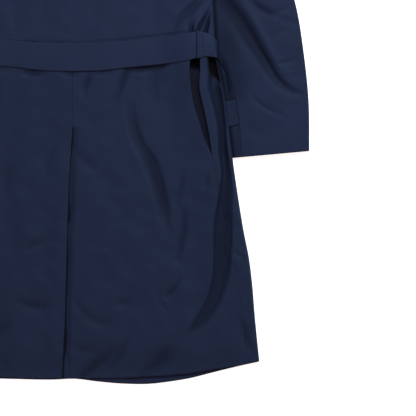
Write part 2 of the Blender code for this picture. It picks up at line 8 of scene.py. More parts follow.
import bpy
import numpy as np
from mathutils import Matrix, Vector


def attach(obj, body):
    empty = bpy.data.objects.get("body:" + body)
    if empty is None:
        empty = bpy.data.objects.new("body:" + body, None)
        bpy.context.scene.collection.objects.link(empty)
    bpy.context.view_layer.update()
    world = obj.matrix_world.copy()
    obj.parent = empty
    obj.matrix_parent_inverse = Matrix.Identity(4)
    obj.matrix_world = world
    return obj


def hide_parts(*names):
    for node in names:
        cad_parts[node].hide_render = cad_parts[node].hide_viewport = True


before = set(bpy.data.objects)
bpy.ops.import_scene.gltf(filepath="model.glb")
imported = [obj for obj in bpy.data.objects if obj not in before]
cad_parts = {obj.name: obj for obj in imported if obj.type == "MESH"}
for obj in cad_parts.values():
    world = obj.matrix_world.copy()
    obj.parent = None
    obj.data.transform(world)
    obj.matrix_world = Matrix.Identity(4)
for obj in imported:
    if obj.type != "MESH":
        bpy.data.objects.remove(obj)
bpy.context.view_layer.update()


# ------------------------------------------------------------------------------ upper back
# The upper back is one piece of navy cotton gabardine, cut from the neck to the waist seam under the
# belt, and sewn to the sleeves and both fronts. It lies on the fronts, and its folds draw towards
# the underarms.
MM = 0.001
WAIST_Y = 82.336      # the middle of the belt in the frame
CLOTH = 1.6           # gabardine with its turned edges
SEAM = 0.12           # what shows between two pieces that are sewn together
LAY = 0.4             # gap under a piece that lies on another
NECK_Y = 385.0
NECK_POINT = (85.0, 400.0)
SHOULDER = (205.0, 350.0)
FRONT_NECK_Y = 322.0
UNDERARM_Y = 140.0
OVERLAP = 86.0        # how far each front goes past the centre
MID_HEIGHT = 10.0     # of the layers in the middle of the body
WAIST_HEIGHT = 12.6   # the same under the belt
WAIST_SPREAD = 70.0
SHOULDER_HEIGHT = 9.0
SHOULDER_FADE = 60.0
SEAM_HEIGHT = 3.5     # of the layers at the shoulder seam
HEM_HEIGHT = 6.0
LEAST_GAP = 4.0       # no fold goes lower than this above the fronts
BELT_LIFT = 2.8       # the belt under the coat
BELT_MARGIN = 6.0
BELT_FADE = 24.0
BUCKLE_LIFT = 2.9
COLLAR_WALL = 1.8
INNER_RISE = 1.9      # the inner front above the outer one
STEP_X = 100.0        # where that rise begins, ending at the outer front's edge
# Strips over which one height turns into another: where each starts, and how wide it is.
SIDE_STRIP = (35.0, 70.0)     # inwards from the side's edge
SEAM_STRIP = (-0.6, 30.0)     # down from the shoulder seam
HEM_STRIP = (-505.0, -50.0)   # down to the hem, where the layers come together
BUCKLE_REACH = (45.0, 40.0)   # out from the buckle
COLLAR_UP = (190.0, 40.0)     # up and out to the collar under the coat
COLLAR_OUT = (150.0, 30.0)

# The body: side edge, the front's edge at the side seam, how far it gapes at the pocket's mouth, the
# reach of the rounded side, and the height of the cloth beside it.
BODY = {
    "columns": ("y", "edge", "seam", "mouth", "reach", "loft"),
    "rows": (
        (150, 241.5, 229.0, 0.0, 6.0, 11.0), (100, 245.7, 231.0, 0.0, 6.0, 14.0),
        (60, 248.0, 227.0, 0.0, 6.0, 19.0), (22, 250.5, 222.0, 0.0, 4.0, 24.0),
        (-4, 252.5, 222.8, 16.4, 2.2, 24.0), (-20, 256.0, 223.0, 18.4, 2.2, 23.0),
        (-55, 263.5, 222.0, 14.8, 2.6, 22.0), (-87, 269.0, 229.0, 16.0, 3.5, 20.5),
        (-110, 272.0, 234.0, 13.4, 4.5, 19.5), (-144, 276.0, 240.5, 9.4, 6.0, 18.0),
        (-171, 279.5, 244.0, 0.6, 6.0, 17.0), (-186, 281.5, 247.5, 0.0, 6.0, 17.0),
        (-244, 290.0, 260.0, 0.0, 6.0, 16.0), (-305, 300.0, 270.0, 0.0, 6.0, 15.0),
        (-354, 309.5, 282.0, 0.0, 6.0, 14.5), (-390, 314.0, 288.0, 0.0, 6.0, 14.0),
        (-455, 319.5, 298.0, 0.0, 5.5, 12.0), (-545, 328.5, 310.0, 0.0, 4.0, 8.5),
    ),
}
BELT_EDGES = {
    "columns": ("x", "top", "bottom"),
    "rows": (
        (0, 25.0, -24.5), (50, 25.5, -23.0), (100, 29.0, -17.5), (153, 34.5, -12.3),
        (195, 41.0, -7.0), (212, 43.8, -3.5), (226, 44.0, 0.5), (240, 40.0, 0.6), (256, 24.0, -1.5),
    ),
}
HEM = {
    "columns": ("x", "back", "front"),
    "rows": (
        (-332, -531.0, -531.0), (-293, -539.5, -540.0), (-240, -547.5, -549.5),
        (-167, -557.0, -560.0), (-85, -562.5, -563.5), (-30, -563.0, -564.0), (0, -562.5, -562.5),
        (45, -562.0, -567.5), (85, -561.5, -571.0), (139, -558.5, -571.4),
        (167, -557.0, -568.0), (209, -553.0, -561.0), (240, -547.5, -553.0), (293, -539.5, -540.0),
        (332, -531.0, -531.0),
    ),
}
ARMHOLE = {
    "columns": ("y", "x"),
    "rows": ((140, 229.0), (160, 218.0), (190, 209.0), (240, 203.0), (290, 201.0), (350, 205.0)),
}

# Folds are lines of points (x, y, half width, depth), each with a lean: below 0 the wall to the
# right of a line that runs down is the steeper one. A depth below 0 is a ridge. A last number sets
# the trough's section: above 2 its floor is flatter and its walls steeper, and 0 is a round floor
# between creases.
BODICE_FOLDS = (
    (0.1, ((234, 118, 6.3, 3.6), (223, 101, 7, 4.6), (206, 85, 7.7, 5), (192, 73, 7.7, 4.6),
          (180, 59, 7.4, 3.4), (171, 43, 7, 1.4), (164, 29, 7, 0.3))),
    (0, ((217, 41, 3.1, 6), (222, 53, 3, 7.5), (230, 67, 2.8, 6.5), (238, 83, 2.4, 4.5),
          (243, 97, 2.3, 0.8))),
    (0, ((232, 41, 3, 8.5), (235, 53, 2.8, 9), (238, 67, 2.4, 6), (242, 81, 2.1, 1))),
    (0, ((224, 41, 3.1, -1.4), (228, 55, 3, -2.4), (234, 69, 2.6, -2.4), (239, 85, 2.4, -1.6),
          (243, 101, 2.3, -0.4))),
    (0, ((208, 36, 4.9, 7.5), (208, 48, 4.5, 7), (209, 59, 4, 3.2), (212, 69, 3.9, 0.3))),
    (0, ((203, 57, 2.8, -0.6), (207, 66, 2.8, -2), (214, 76, 2.8, -2), (225, 86, 2.8, -0.6))),
    (0, ((43, 153, 10.5, 0.3), (40, 111, 10.5, 0.7), (38, 66, 10.5, 0.8), (36, 31, 8.8, 0.4))),
    (0, ((181, 111, 8.8, 0.2), (153, 94, 8.8, 1.1), (136, 69, 8.8, 0.8), (129, 45, 8.8, 0.2))),
    # the cloth sinks a little where the belt holds it
    (0, ((-197, 25, 2.4, 1.6), (-127, 26, 2.4, 1.6), (13, 27, 2.4, 1.8), (83, 30, 2.4, 1.6),
          (136, 36, 2.4, 1.8), (171, 40, 2.4, 2), (199, 44, 2.4, 2.4))),
    (0, ((-57, 136, 14, 0.2), (-53, 90, 14, 0.6), (-57, 38, 10.5, 0.3))),
    # towards the hidden shoulders
    (0, ((120, 332, 16, 0.3), (150, 272, 16, 2.0), (172, 204, 14, 3.0), (198, 150, 12, 3.4))),
    (0.2, ((60, 300, 18, 0.2), (92, 250, 18, 1.2), (120, 190, 16, 0.6))),
    (0, ((-207, 45, 4, 3.4), (-212, 58, 3.4, 3.2), (-222, 74, 3, 2.2), (-233, 94, 3, 0.4))),
    (0, ((-218, 44, 3, 2.8), (-224, 60, 2.8, 2.6), (-236, 84, 2.6, 0.5))),
    (0, ((-213, 46, 3, -1), (-219, 62, 3, -2), (-230, 82, 3, -0.6))),
    (0.1, ((-168, 46, 7, 0.6), (-182, 66, 8, 2.6), (-204, 86, 8, 3.2), (-230, 120, 7, 2.4))),
    (0, ((-112, 326, 16, 0.3), (-146, 262, 16, 2.2), (-172, 196, 14, 3.0), (-198, 148, 12, 3.2))),
    (0, ((-96, 130, 14, 0.2), (-104, 84, 12, 1.1), (-96, 40, 9, 0.9))),
    (0, ((-10, 260, 20, 0.2), (4, 200, 20, 0.8), (-8, 140, 16, 0.2))),
)


def curve_between(start, end, slope, end_slope, t):
    """A smooth curve's value a share t of the way between two points with these slopes."""
    level = start * (1 + 2 * t) * (1 - t) ** 2 + end * t * t * (3 - 2 * t)
    return level + slope * t * (1 - t) ** 2 - end_slope * t * t * (1 - t)


def read(table, name, key):
    """A column of a table at a key in its first column, smoothly between the rows."""
    rows = np.array(sorted(table["rows"]), float)
    keys, values = rows[:, 0], rows[:, table["columns"].index(name)]
    slopes = np.gradient(values, keys)
    key = np.clip(key, keys[0], keys[-1])
    i = np.clip(np.searchsorted(keys, key, side="right") - 1, 0, len(keys) - 2)
    span = keys[i + 1] - keys[i]
    return curve_between(values[i], values[i + 1], span * slopes[i], span * slopes[i + 1],
                         (key - keys[i]) / span)


def mix(start, end, share):
    """The value a share of the way from start to end."""
    return start + (end - start) * share


def ease(value, start, over):
    """0 before start and 1 past it by over, smooth between; with over below 0 it runs downwards."""
    t = np.clip((value - start) / over, 0.0, 1.0)
    return t * t * (3 - 2 * t)


def fade(value, start, over):
    """The same from 1 to 0."""
    return 1 - ease(value, start, over)


def smooth_line(points, steps=5):
    """A fold's line with more points, on a curve through those given."""
    p = np.array(points, float)
    if len(p) < 3:
        return p
    slopes = np.gradient(p, axis=0)
    shares = np.linspace(0, 1, steps, endpoint=False)[:, None]
    runs = [curve_between(p[i], p[i + 1], slopes[i], slopes[i + 1], shares) for i in range(len(p) - 1)]
    return np.vstack(runs + [p[-1:]])


def fold_depth(folds, x, y):
    """How far the folds lower the cloth at each point."""
    fade_out = 2.8      # half widths from the line to where nothing is left of a fold
    crease = 1.4        # half widths from the line to the creases of a round floor
    depth = np.zeros(x.shape)
    for lean, points, *section in folds:
        line = smooth_line(points)
        power = section[0] if section else 2.0
        margin = fade_out * line[:, 2].max() * (1 + abs(lean))
        near = (x > line[:, 0].min() - margin) & (x < line[:, 0].max() + margin)
        near &= (y > line[:, 1].min() - margin) & (y < line[:, 1].max() + margin)
        if not near.any():
            continue
        px, py = x[near], y[near]
        best = np.full(px.shape, 1e9)
        side, width, amount = np.zeros(px.shape), np.ones(px.shape), np.zeros(px.shape)
        for a, b in zip(line, line[1:]):
            run_x, run_y = b[0] - a[0], b[1] - a[1]
            length = math.hypot(run_x, run_y)
            t = np.clip(((px - a[0]) * run_x + (py - a[1]) * run_y) / length ** 2, 0, 1)
            off_x, off_y = px - a[0] - t * run_x, py - a[1] - t * run_y
            gap = np.hypot(off_x, off_y)
            closer = gap < best
            best = np.where(closer, gap, best)
            width = np.where(closer, mix(a[2], b[2], t), width)
            amount = np.where(closer, mix(a[3], b[3], t), amount)
            turned = (run_x * off_y - run_y * off_x) / (length * np.maximum(gap, 1e-6))
            side = np.where(closer, turned, side)
        reach = best / (width * (1 + lean * side))
        if power == 0:
            depth[near] += amount * np.maximum(1 - (reach / crease) ** 2, 0)
        else:
            depth[near] += amount * np.exp(-reach ** power)
    return depth


def rumple(x, y, seed, size=0.46):
    """Soft unevenness of worn cloth: bent waves added up, which grow towards the hem. size is for a
    wave as long as whole, and shorter ones are as much lower."""
    waves, shortest, longest, whole = 26, 17, 90, 285.0
    bend_height, bend_length = 5.0, 31.0
    grow_from, grow_over, grow_by = -120.0, -160.0, 0.7
    dice = np.random.default_rng(seed)
    total = np.zeros(x.shape)
    for _ in range(waves):
        length, turn = dice.uniform(shortest, longest), dice.uniform(0, math.pi)
        phase = dice.uniform(0, 6.28)
        wave = x * math.cos(turn) + y * math.sin(turn)
        across = y * math.cos(turn) - x * math.sin(turn)
        bent = wave + bend_height * np.sin(across / bend_length + phase)
        total += np.sin(bent * 2 * math.pi / length + phase) * length / whole
    return total * size * (1 + grow_by * ease(y, grow_from, grow_over))


def shoulder_line(x):
    """The y of the shoulder seam, carried on past the armhole."""
    slope = (SHOULDER[1] - NECK_POINT[1]) / (SHOULDER[0] - NECK_POINT[0])
    return NECK_POINT[1] + slope * (np.abs(x) - NECK_POINT[0])


def row_line(row, x, layer):
    """The y of a row at x. Rows -1, 0 and 1 are the belt's lower edge, middle and upper edge, rows
    -2 and 2 its margins, -3 is the hem and 3 the shoulder and neck."""
    hem = read(HEM, layer, x)
    x = np.abs(x)
    low, high = read(BELT_EDGES, "bottom", x), read(BELT_EDGES, "top", x)
    neck_y = NECK_Y if layer == "back" else FRONT_NECK_Y
    neck = neck_y + (NECK_POINT[1] - neck_y) * (x / NECK_POINT[0]) ** 2.2
    top = np.where(x >= NECK_POINT[0], shoulder_line(x), neck)
    y = mix((low + high) / 2, np.where(row > 0, high, low), np.abs(row))
    y = np.where(row > 1, high + BELT_MARGIN * (row - 1), y)
    y = np.where(row > 2, mix(high + BELT_MARGIN, top, row - 2), y)
    y = np.where(row < -1, low - BELT_MARGIN * (-1 - row), y)
    return np.where(row < -2, mix(low - BELT_MARGIN, hem, -2 - row), y)


def under_height(x, y):
    """The height of the fronts' outer face: 0, but for the lift over the belt and its buckle."""
    x = np.abs(x)
    past = np.maximum(read(BELT_EDGES, "bottom", x) - y, y - read(BELT_EDGES, "top", x)) - BELT_MARGIN
    lift = BELT_LIFT + BUCKLE_LIFT * fade(x, *BUCKLE_REACH)
    collar = (COLLAR_WALL + LAY) * ease(y, *COLLAR_UP) * fade(x, *COLLAR_OUT)
    return np.maximum(lift * fade(past, 0.0, BELT_FADE), collar)


def inner_rise(x):
    """How far the inner front lies above the outer one, where the two overlap."""
    return INNER_RISE * ease(np.abs(x), STEP_X, OVERLAP - STEP_X)


def back_height(x, y, folds=()):
    """The height of the outer face of the upper layer."""
    middle = mix(MID_HEIGHT, WAIST_HEIGHT, np.exp(-(y / WAIST_SPREAD) ** 2))
    inward = read(BODY, "edge", y) - np.abs(x)
    height = mix(read(BODY, "loft", y), middle, ease(inward, *SIDE_STRIP))
    height = mix(height, SHOULDER_HEIGHT, ease(y, UNDERARM_Y, SHOULDER_FADE))
    # the inner front's rise counts a little past its step too
    seam_past, floor_past, seam_rise = 20.0, 15.0, 1.4
    seam_height = SEAM_HEIGHT + under_height(x, y) + seam_rise * inner_rise(np.abs(x) - seam_past)
    height = mix(seam_height, height, ease(shoulder_line(x) - y, *SEAM_STRIP))
    if folds:
        floor = under_height(x, y) + LEAST_GAP + inner_rise(np.abs(x) - floor_past)
        worn = height - fold_depth(folds, x, y) + rumple(x, y, 7)
        height = np.maximum(worn, np.minimum(height, floor))
    closed = np.minimum(height, HEM_HEIGHT + under_height(x, y))
    return mix(height, closed, ease(y, *HEM_STRIP))


def body_side(y):
    """The half width of the upper layer where the back ends: side seam, then armhole."""
    seam = read(BODY, "seam", y) - np.maximum(read(BODY, "mouth", y), 0.0)
    return np.where(y > UNDERARM_Y, read(ARMHOLE, "x", y), seam)


def corner_x(y):
    """Where the upper layer begins to turn round the side."""
    return read(BODY, "edge", y) - read(BODY, "reach", y)


def ring(side, columns, rows, layer="back", out=0.0, folds=()):
    """Points of the body's outer face, for columns (kind, rule) and rows. The rule of a top or under
    column gives x for y, and an edge column's is the angle round the side, 0 on top."""
    round_half = 2.0      # the least half height of the rounded side
    rim_width = 2.2       # over which the top joins it
    first_x = 200.0       # where a row's height is read before its own x is known
    rows = np.broadcast_to(np.array(rows, float), (len(columns), len(rows)))
    x = np.zeros(rows.shape)
    y = row_line(rows, side * (x + first_x), layer)
    angle = np.array([[math.radians(rule) if kind == "edge" else 0.0] for kind, rule in columns])
    edge_kind, under_kind = (
        np.array([[kind == name] for kind, _ in columns]) for name in ("edge", "under")
    )
    # x and y hang on each other, so each is worked out from the other until both are settled
    for _ in range(8):
        turned = corner_x(y) + read(BODY, "reach", y) * np.sin(angle)
        for i, (kind, rule) in enumerate(columns):
            x[i] = turned[i] if kind == "edge" else rule(y[i])
        y = row_line(rows, side * x, layer)
    corner, reach = corner_x(y), read(BODY, "reach", y)
    low = under_height(x, y)
    high = back_height(side * x, y, folds)
    half = (read(BODY, "loft", y) + low) / 2 + round_half
    top = mix(high, np.maximum(high, half), fade(corner - x, 0.0, rim_width)) + out
    high, low_corner = back_height(side * corner, y), under_height(corner, y)
    middle = (high + low_corner) / 2
    worn = np.maximum(back_height(side * corner, y, folds), middle + round_half)
    upper = angle < math.pi / 2
    rise = np.where(upper, worn - middle, middle - low_corner) + out
    turned = middle + rise * np.cos(angle)
    z = np.where(edge_kind, turned, np.where(under_kind, low - out, top))
    x = np.where(edge_kind, corner + (reach + out) * np.sin(angle), x)
    return np.stack((side * x, y, z), -1)


def linear(colour):
    """An sRGB hex colour as linear RGBA."""
    parts = [int(colour[i:i + 2], 16) / 255 for i in (1, 3, 5)]
    return [p / 12.92 if p <= 0.04045 else ((p + 0.055) / 1.055) ** 2.4 for p in parts] + [1.0]


def add_node(tree, kind, settings=(), **inputs):
    """Adds a node with its settings. An input is a value, or a socket to link it to."""
    node = tree.nodes.new(kind)
    for name, value in dict(settings).items():
        setattr(node, name, value)
    for name, value in inputs.items():
        place = int(name[1:]) if name[0] == "_" else name.replace("_", " ")
        if isinstance(value, bpy.types.NodeSocket):
            tree.links.new(value, node.inputs[place])
        else:
            node.inputs[place].default_value = value
    return node


def new_finish(name, **values):
    """A material, its tree and its shader, with values for the shader's inputs."""
    finish = bpy.data.materials.new(name)
    finish.use_nodes = True
    shader = finish.node_tree.nodes["Principled BSDF"]
    for title, value in values.items():
        shader.inputs[title.replace("_", " ")].default_value = value
    return finish, finish.node_tree, shader


def gabardine(name, colour, shade, roughness=0.62):
    """Cotton gabardine in a steep, tight twill: matt with a faint sheen, and an even dyed navy that
    is a little lighter on the raised yarns. The real ribs are 0.7 mm apart, too fine to show from
    here, so they are drawn 1.4 mm apart."""
    finish, tree, shader = new_finish(name, Roughness=roughness, Sheen_Roughness=0.5,
                                      Sheen_Tint=linear("#9FB2E0"))
    grain = add_node(tree, "ShaderNodeUVMap", {"uv_map": "grain"}).outputs[0]
    rib_pitch, yarn_fleck, dye_cloud = 1.4 * MM, 3.5 * MM, 55 * MM
    wave_period = 2 * math.pi / 20          # of Blender's wave texture at scale 1
    steep = add_node(tree, "ShaderNodeMapping", Vector=grain, Rotation=(0, 0, math.radians(27)))
    ribs = add_node(tree, "ShaderNodeTexWave", {"wave_profile": "SIN"}, Vector=steep.outputs[0],
                    Scale=wave_period / rib_pitch, Distortion=0.6, Detail=1.0, Detail_Scale=2.0)
    yarns = add_node(tree, "ShaderNodeTexNoise", Vector=grain, Scale=1 / yarn_fleck, Detail=3.0,
                     Roughness=0.6)
    cloud = add_node(tree, "ShaderNodeTexNoise", Vector=grain, Scale=1 / dye_cloud, Detail=3.0,
                     Roughness=0.5)
    blend = {"data_type": "RGBA"}
    dyed = add_node(tree, "ShaderNodeMix", blend, _0=cloud.outputs[0], _6=linear(shade),
                    _7=linear(colour))
    raised = add_node(tree, "ShaderNodeHueSaturation", Color=dyed.outputs[2], Saturation=0.97,
                      Value=1.16)
    flecks = add_node(tree, "ShaderNodeMapRange", Value=yarns.outputs[0], _1=0.3, _2=0.75, _3=0.0,
                      _4=1.0)
    woven = add_node(tree, "ShaderNodeMix", blend, _0=flecks.outputs[0], _6=dyed.outputs[2],
                     _7=raised.outputs[0])
    # painted shade: a per-point attribute mixes the colour towards near black and takes away specular and
    # sheen, for the shade in narrow hollows where no light gets down
    painted_shade = add_node(tree, "ShaderNodeAttribute", {"attribute_name": "painted_shade"}).outputs["Fac"]
    unlit = add_node(tree, "ShaderNodeMix", blend, _0=painted_shade, _6=woven.outputs[2],
                     _7=linear("#100F12"))
    tree.links.new(unlit.outputs[2], shader.inputs["Base Color"])
    for title, amount in (("Specular IOR Level", 0.08), ("Sheen Weight", 0.03)):
        left = add_node(tree, "ShaderNodeMath", {"operation": "MULTIPLY_ADD"}, _0=painted_shade, _1=-amount,
                        _2=amount)
        tree.links.new(left.outputs[0], shader.inputs[title])
    height = add_node(tree, "ShaderNodeMath", {"operation": "MULTIPLY_ADD"}, _0=yarns.outputs[0],
                      _1=0.8, _2=ribs.outputs[1])
    bump = add_node(tree, "ShaderNodeBump", Height=height.outputs[0], Strength=0.35,
                    Distance=0.12 * MM)
    tree.links.new(bump.outputs[0], shader.inputs["Normal"])
    return finish


def put(name, data):
    """An object in the scene."""
    thing = bpy.data.objects.new(name, data)
    bpy.context.scene.collection.objects.link(thing)
    return thing


def cloth(name, points, finish, wall=CLOTH, flip=False, keep=None, grain=None, painted_shade=None):
    """A cloth piece: a net of outer points in mm, with a wall on its inner side. The last argument is
    painted shade, 0 to 1 at each point, that darkens its colour where little light gets in."""
    across, down = points.shape[:2]
    index = np.arange(across * down).reshape(across, down)
    faces = np.stack((index[:-1, :-1], index[1:, :-1], index[1:, 1:], index[:-1, 1:]), -1)
    if flip:
        faces = faces[..., ::-1]
    faces = faces[keep] if keep is not None else faces.reshape(-1, 4)
    used, faces = np.unique(faces, return_inverse=True)
    faces = faces.reshape(-1, 4)
    spots = (points.reshape(-1, 3)[used] + (0, WAIST_Y, 0)) * MM
    mesh = bpy.data.meshes.new(name)
    mesh.from_pydata(spots.tolist(), [], faces.tolist())
    along = (points[..., :2] if grain is None else grain).reshape(-1, 2)[used] * MM
    mesh.uv_layers.new(name="grain").data.foreach_set("uv", along[faces.ravel()].ravel())
    # painted shade at each point, none where it is not given
    depth = np.zeros(points.shape[:2]) if painted_shade is None else painted_shade
    mesh.attributes.new("painted_shade", "FLOAT", "POINT").data.foreach_set("value", depth.ravel()[used])
    mesh.shade_smooth()
    mesh.materials.append(finish)
    piece = put(name, mesh)
    solid = piece.modifiers.new("wall", "SOLIDIFY")
    solid.thickness = wall * MM
    solid.offset = -1.0
    return piece


def shade_in(folds, points, most=0.42):
    """Painted shade for the folds at each point, from their depth: how little light gets down into them,
    from 0 on open cloth.
    """
    open_depth, dark_depth = 1.0, 13.0
    depth = fold_depth(folds, points[..., 0], points[..., 1])
    return np.clip((depth - open_depth) / (dark_depth - open_depth), 0, most)


def shares_of(*runs):
    """Shares from runs of (start, end, steps), joined."""
    parts = [np.linspace(start, end, steps, endpoint=False) for start, end, steps in runs]
    return np.concatenate(parts + [[runs[-1][1]]])


def back_columns(shares):
    """Columns of the upper layer, as shares of its half width."""
    return [("top", lambda y, s=s: s * body_side(y)) for s in shares]


def row_at(y, first, last, x):
    """The row, between a first and a last one, that crosses the height y at x."""
    start, end = (float(row_line(np.array(row), np.array(x), "back")) for row in (first, last))
    return mix(first, last, (y - start) / (end - start))


navy = gabardine("navy_cotton_gabardine", "#1D2842", "#192239")

half_shares = shares_of((0.0, 0.76, 52), (0.76, 1.0, 40))
underarm_row = row_at(UNDERARM_Y, 2.0, 3.0, ARMHOLE["rows"][0][1])
waist_rows = shares_of((0.0, 1.0, 4), (1.0, 2.0, 3), (2.0, 2.26, 60), (2.26, underarm_row, 8))
shoulder_rows = shares_of((underarm_row, 2.38, 4), (2.38, 2.95, 48), (2.95, 3.0, 8))
bodice_rows = np.append(waist_rows, shoulder_rows[1:])
left = ring(-1, back_columns(half_shares[:0:-1]), bodice_rows, folds=BODICE_FOLDS)
right = ring(1, back_columns(half_shares), bodice_rows, folds=BODICE_FOLDS)
left[0, :, 0] += SEAM / 2
right[-1, :, 0] -= SEAM / 2
points = np.concatenate((left, right))
# painted shade in the bodice's folds
upper_back = cloth("upper_back", points, navy, painted_shade=shade_in(BODICE_FOLDS, points, 0.56))
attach(upper_back, "root")
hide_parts("back_bodice")


# ------------------------------------------------------------------------------ back skirts
# Each lower back is one gabardine piece, sewn to the other down the centre as far as the vent. Below
# it the left one lies over the right one's underlap, and the vent's top is held by a slanted stitch.
HANDS = ((-1, "left"), (1, "right"))      # the side of x, and the piece's name
VENT_TOP_Y = -123.0
UNDERLAP = 45.0
UNDERLAP_LOW = 5.2    # no part of the underlap goes lower
VENT_DIP = 2.0        # of the underlap under the edge
VENT_DIP_WIDTH = 13.0
EDGE_PULL = 60.0      # how far from the vent's edge the cloth follows its slant
EDGE_LIFT = 1.6       # of the upper edge, off the underlap
EDGE_LIFT_STRIP = (10.0, 40.0)
STITCH_LIFT = 0.1     # of a thread off the cloth
VENT_STITCH = ((-2.0, -122.5), (-43.0, -129.5))
# painted shade: the dark gap beside the vent's edge, and a softer shade past it
GAP_SHADE = 0.84
GAP_SOFT_SHADE = 0.34
VENT_EDGE = {
    "columns": ("y", "x"),
    "rows": ((-123, -0.4), (-200, -5.4), (-302, -9.4), (-402, -12.0), (-477, -14.4), (-566, -19.4)),
}
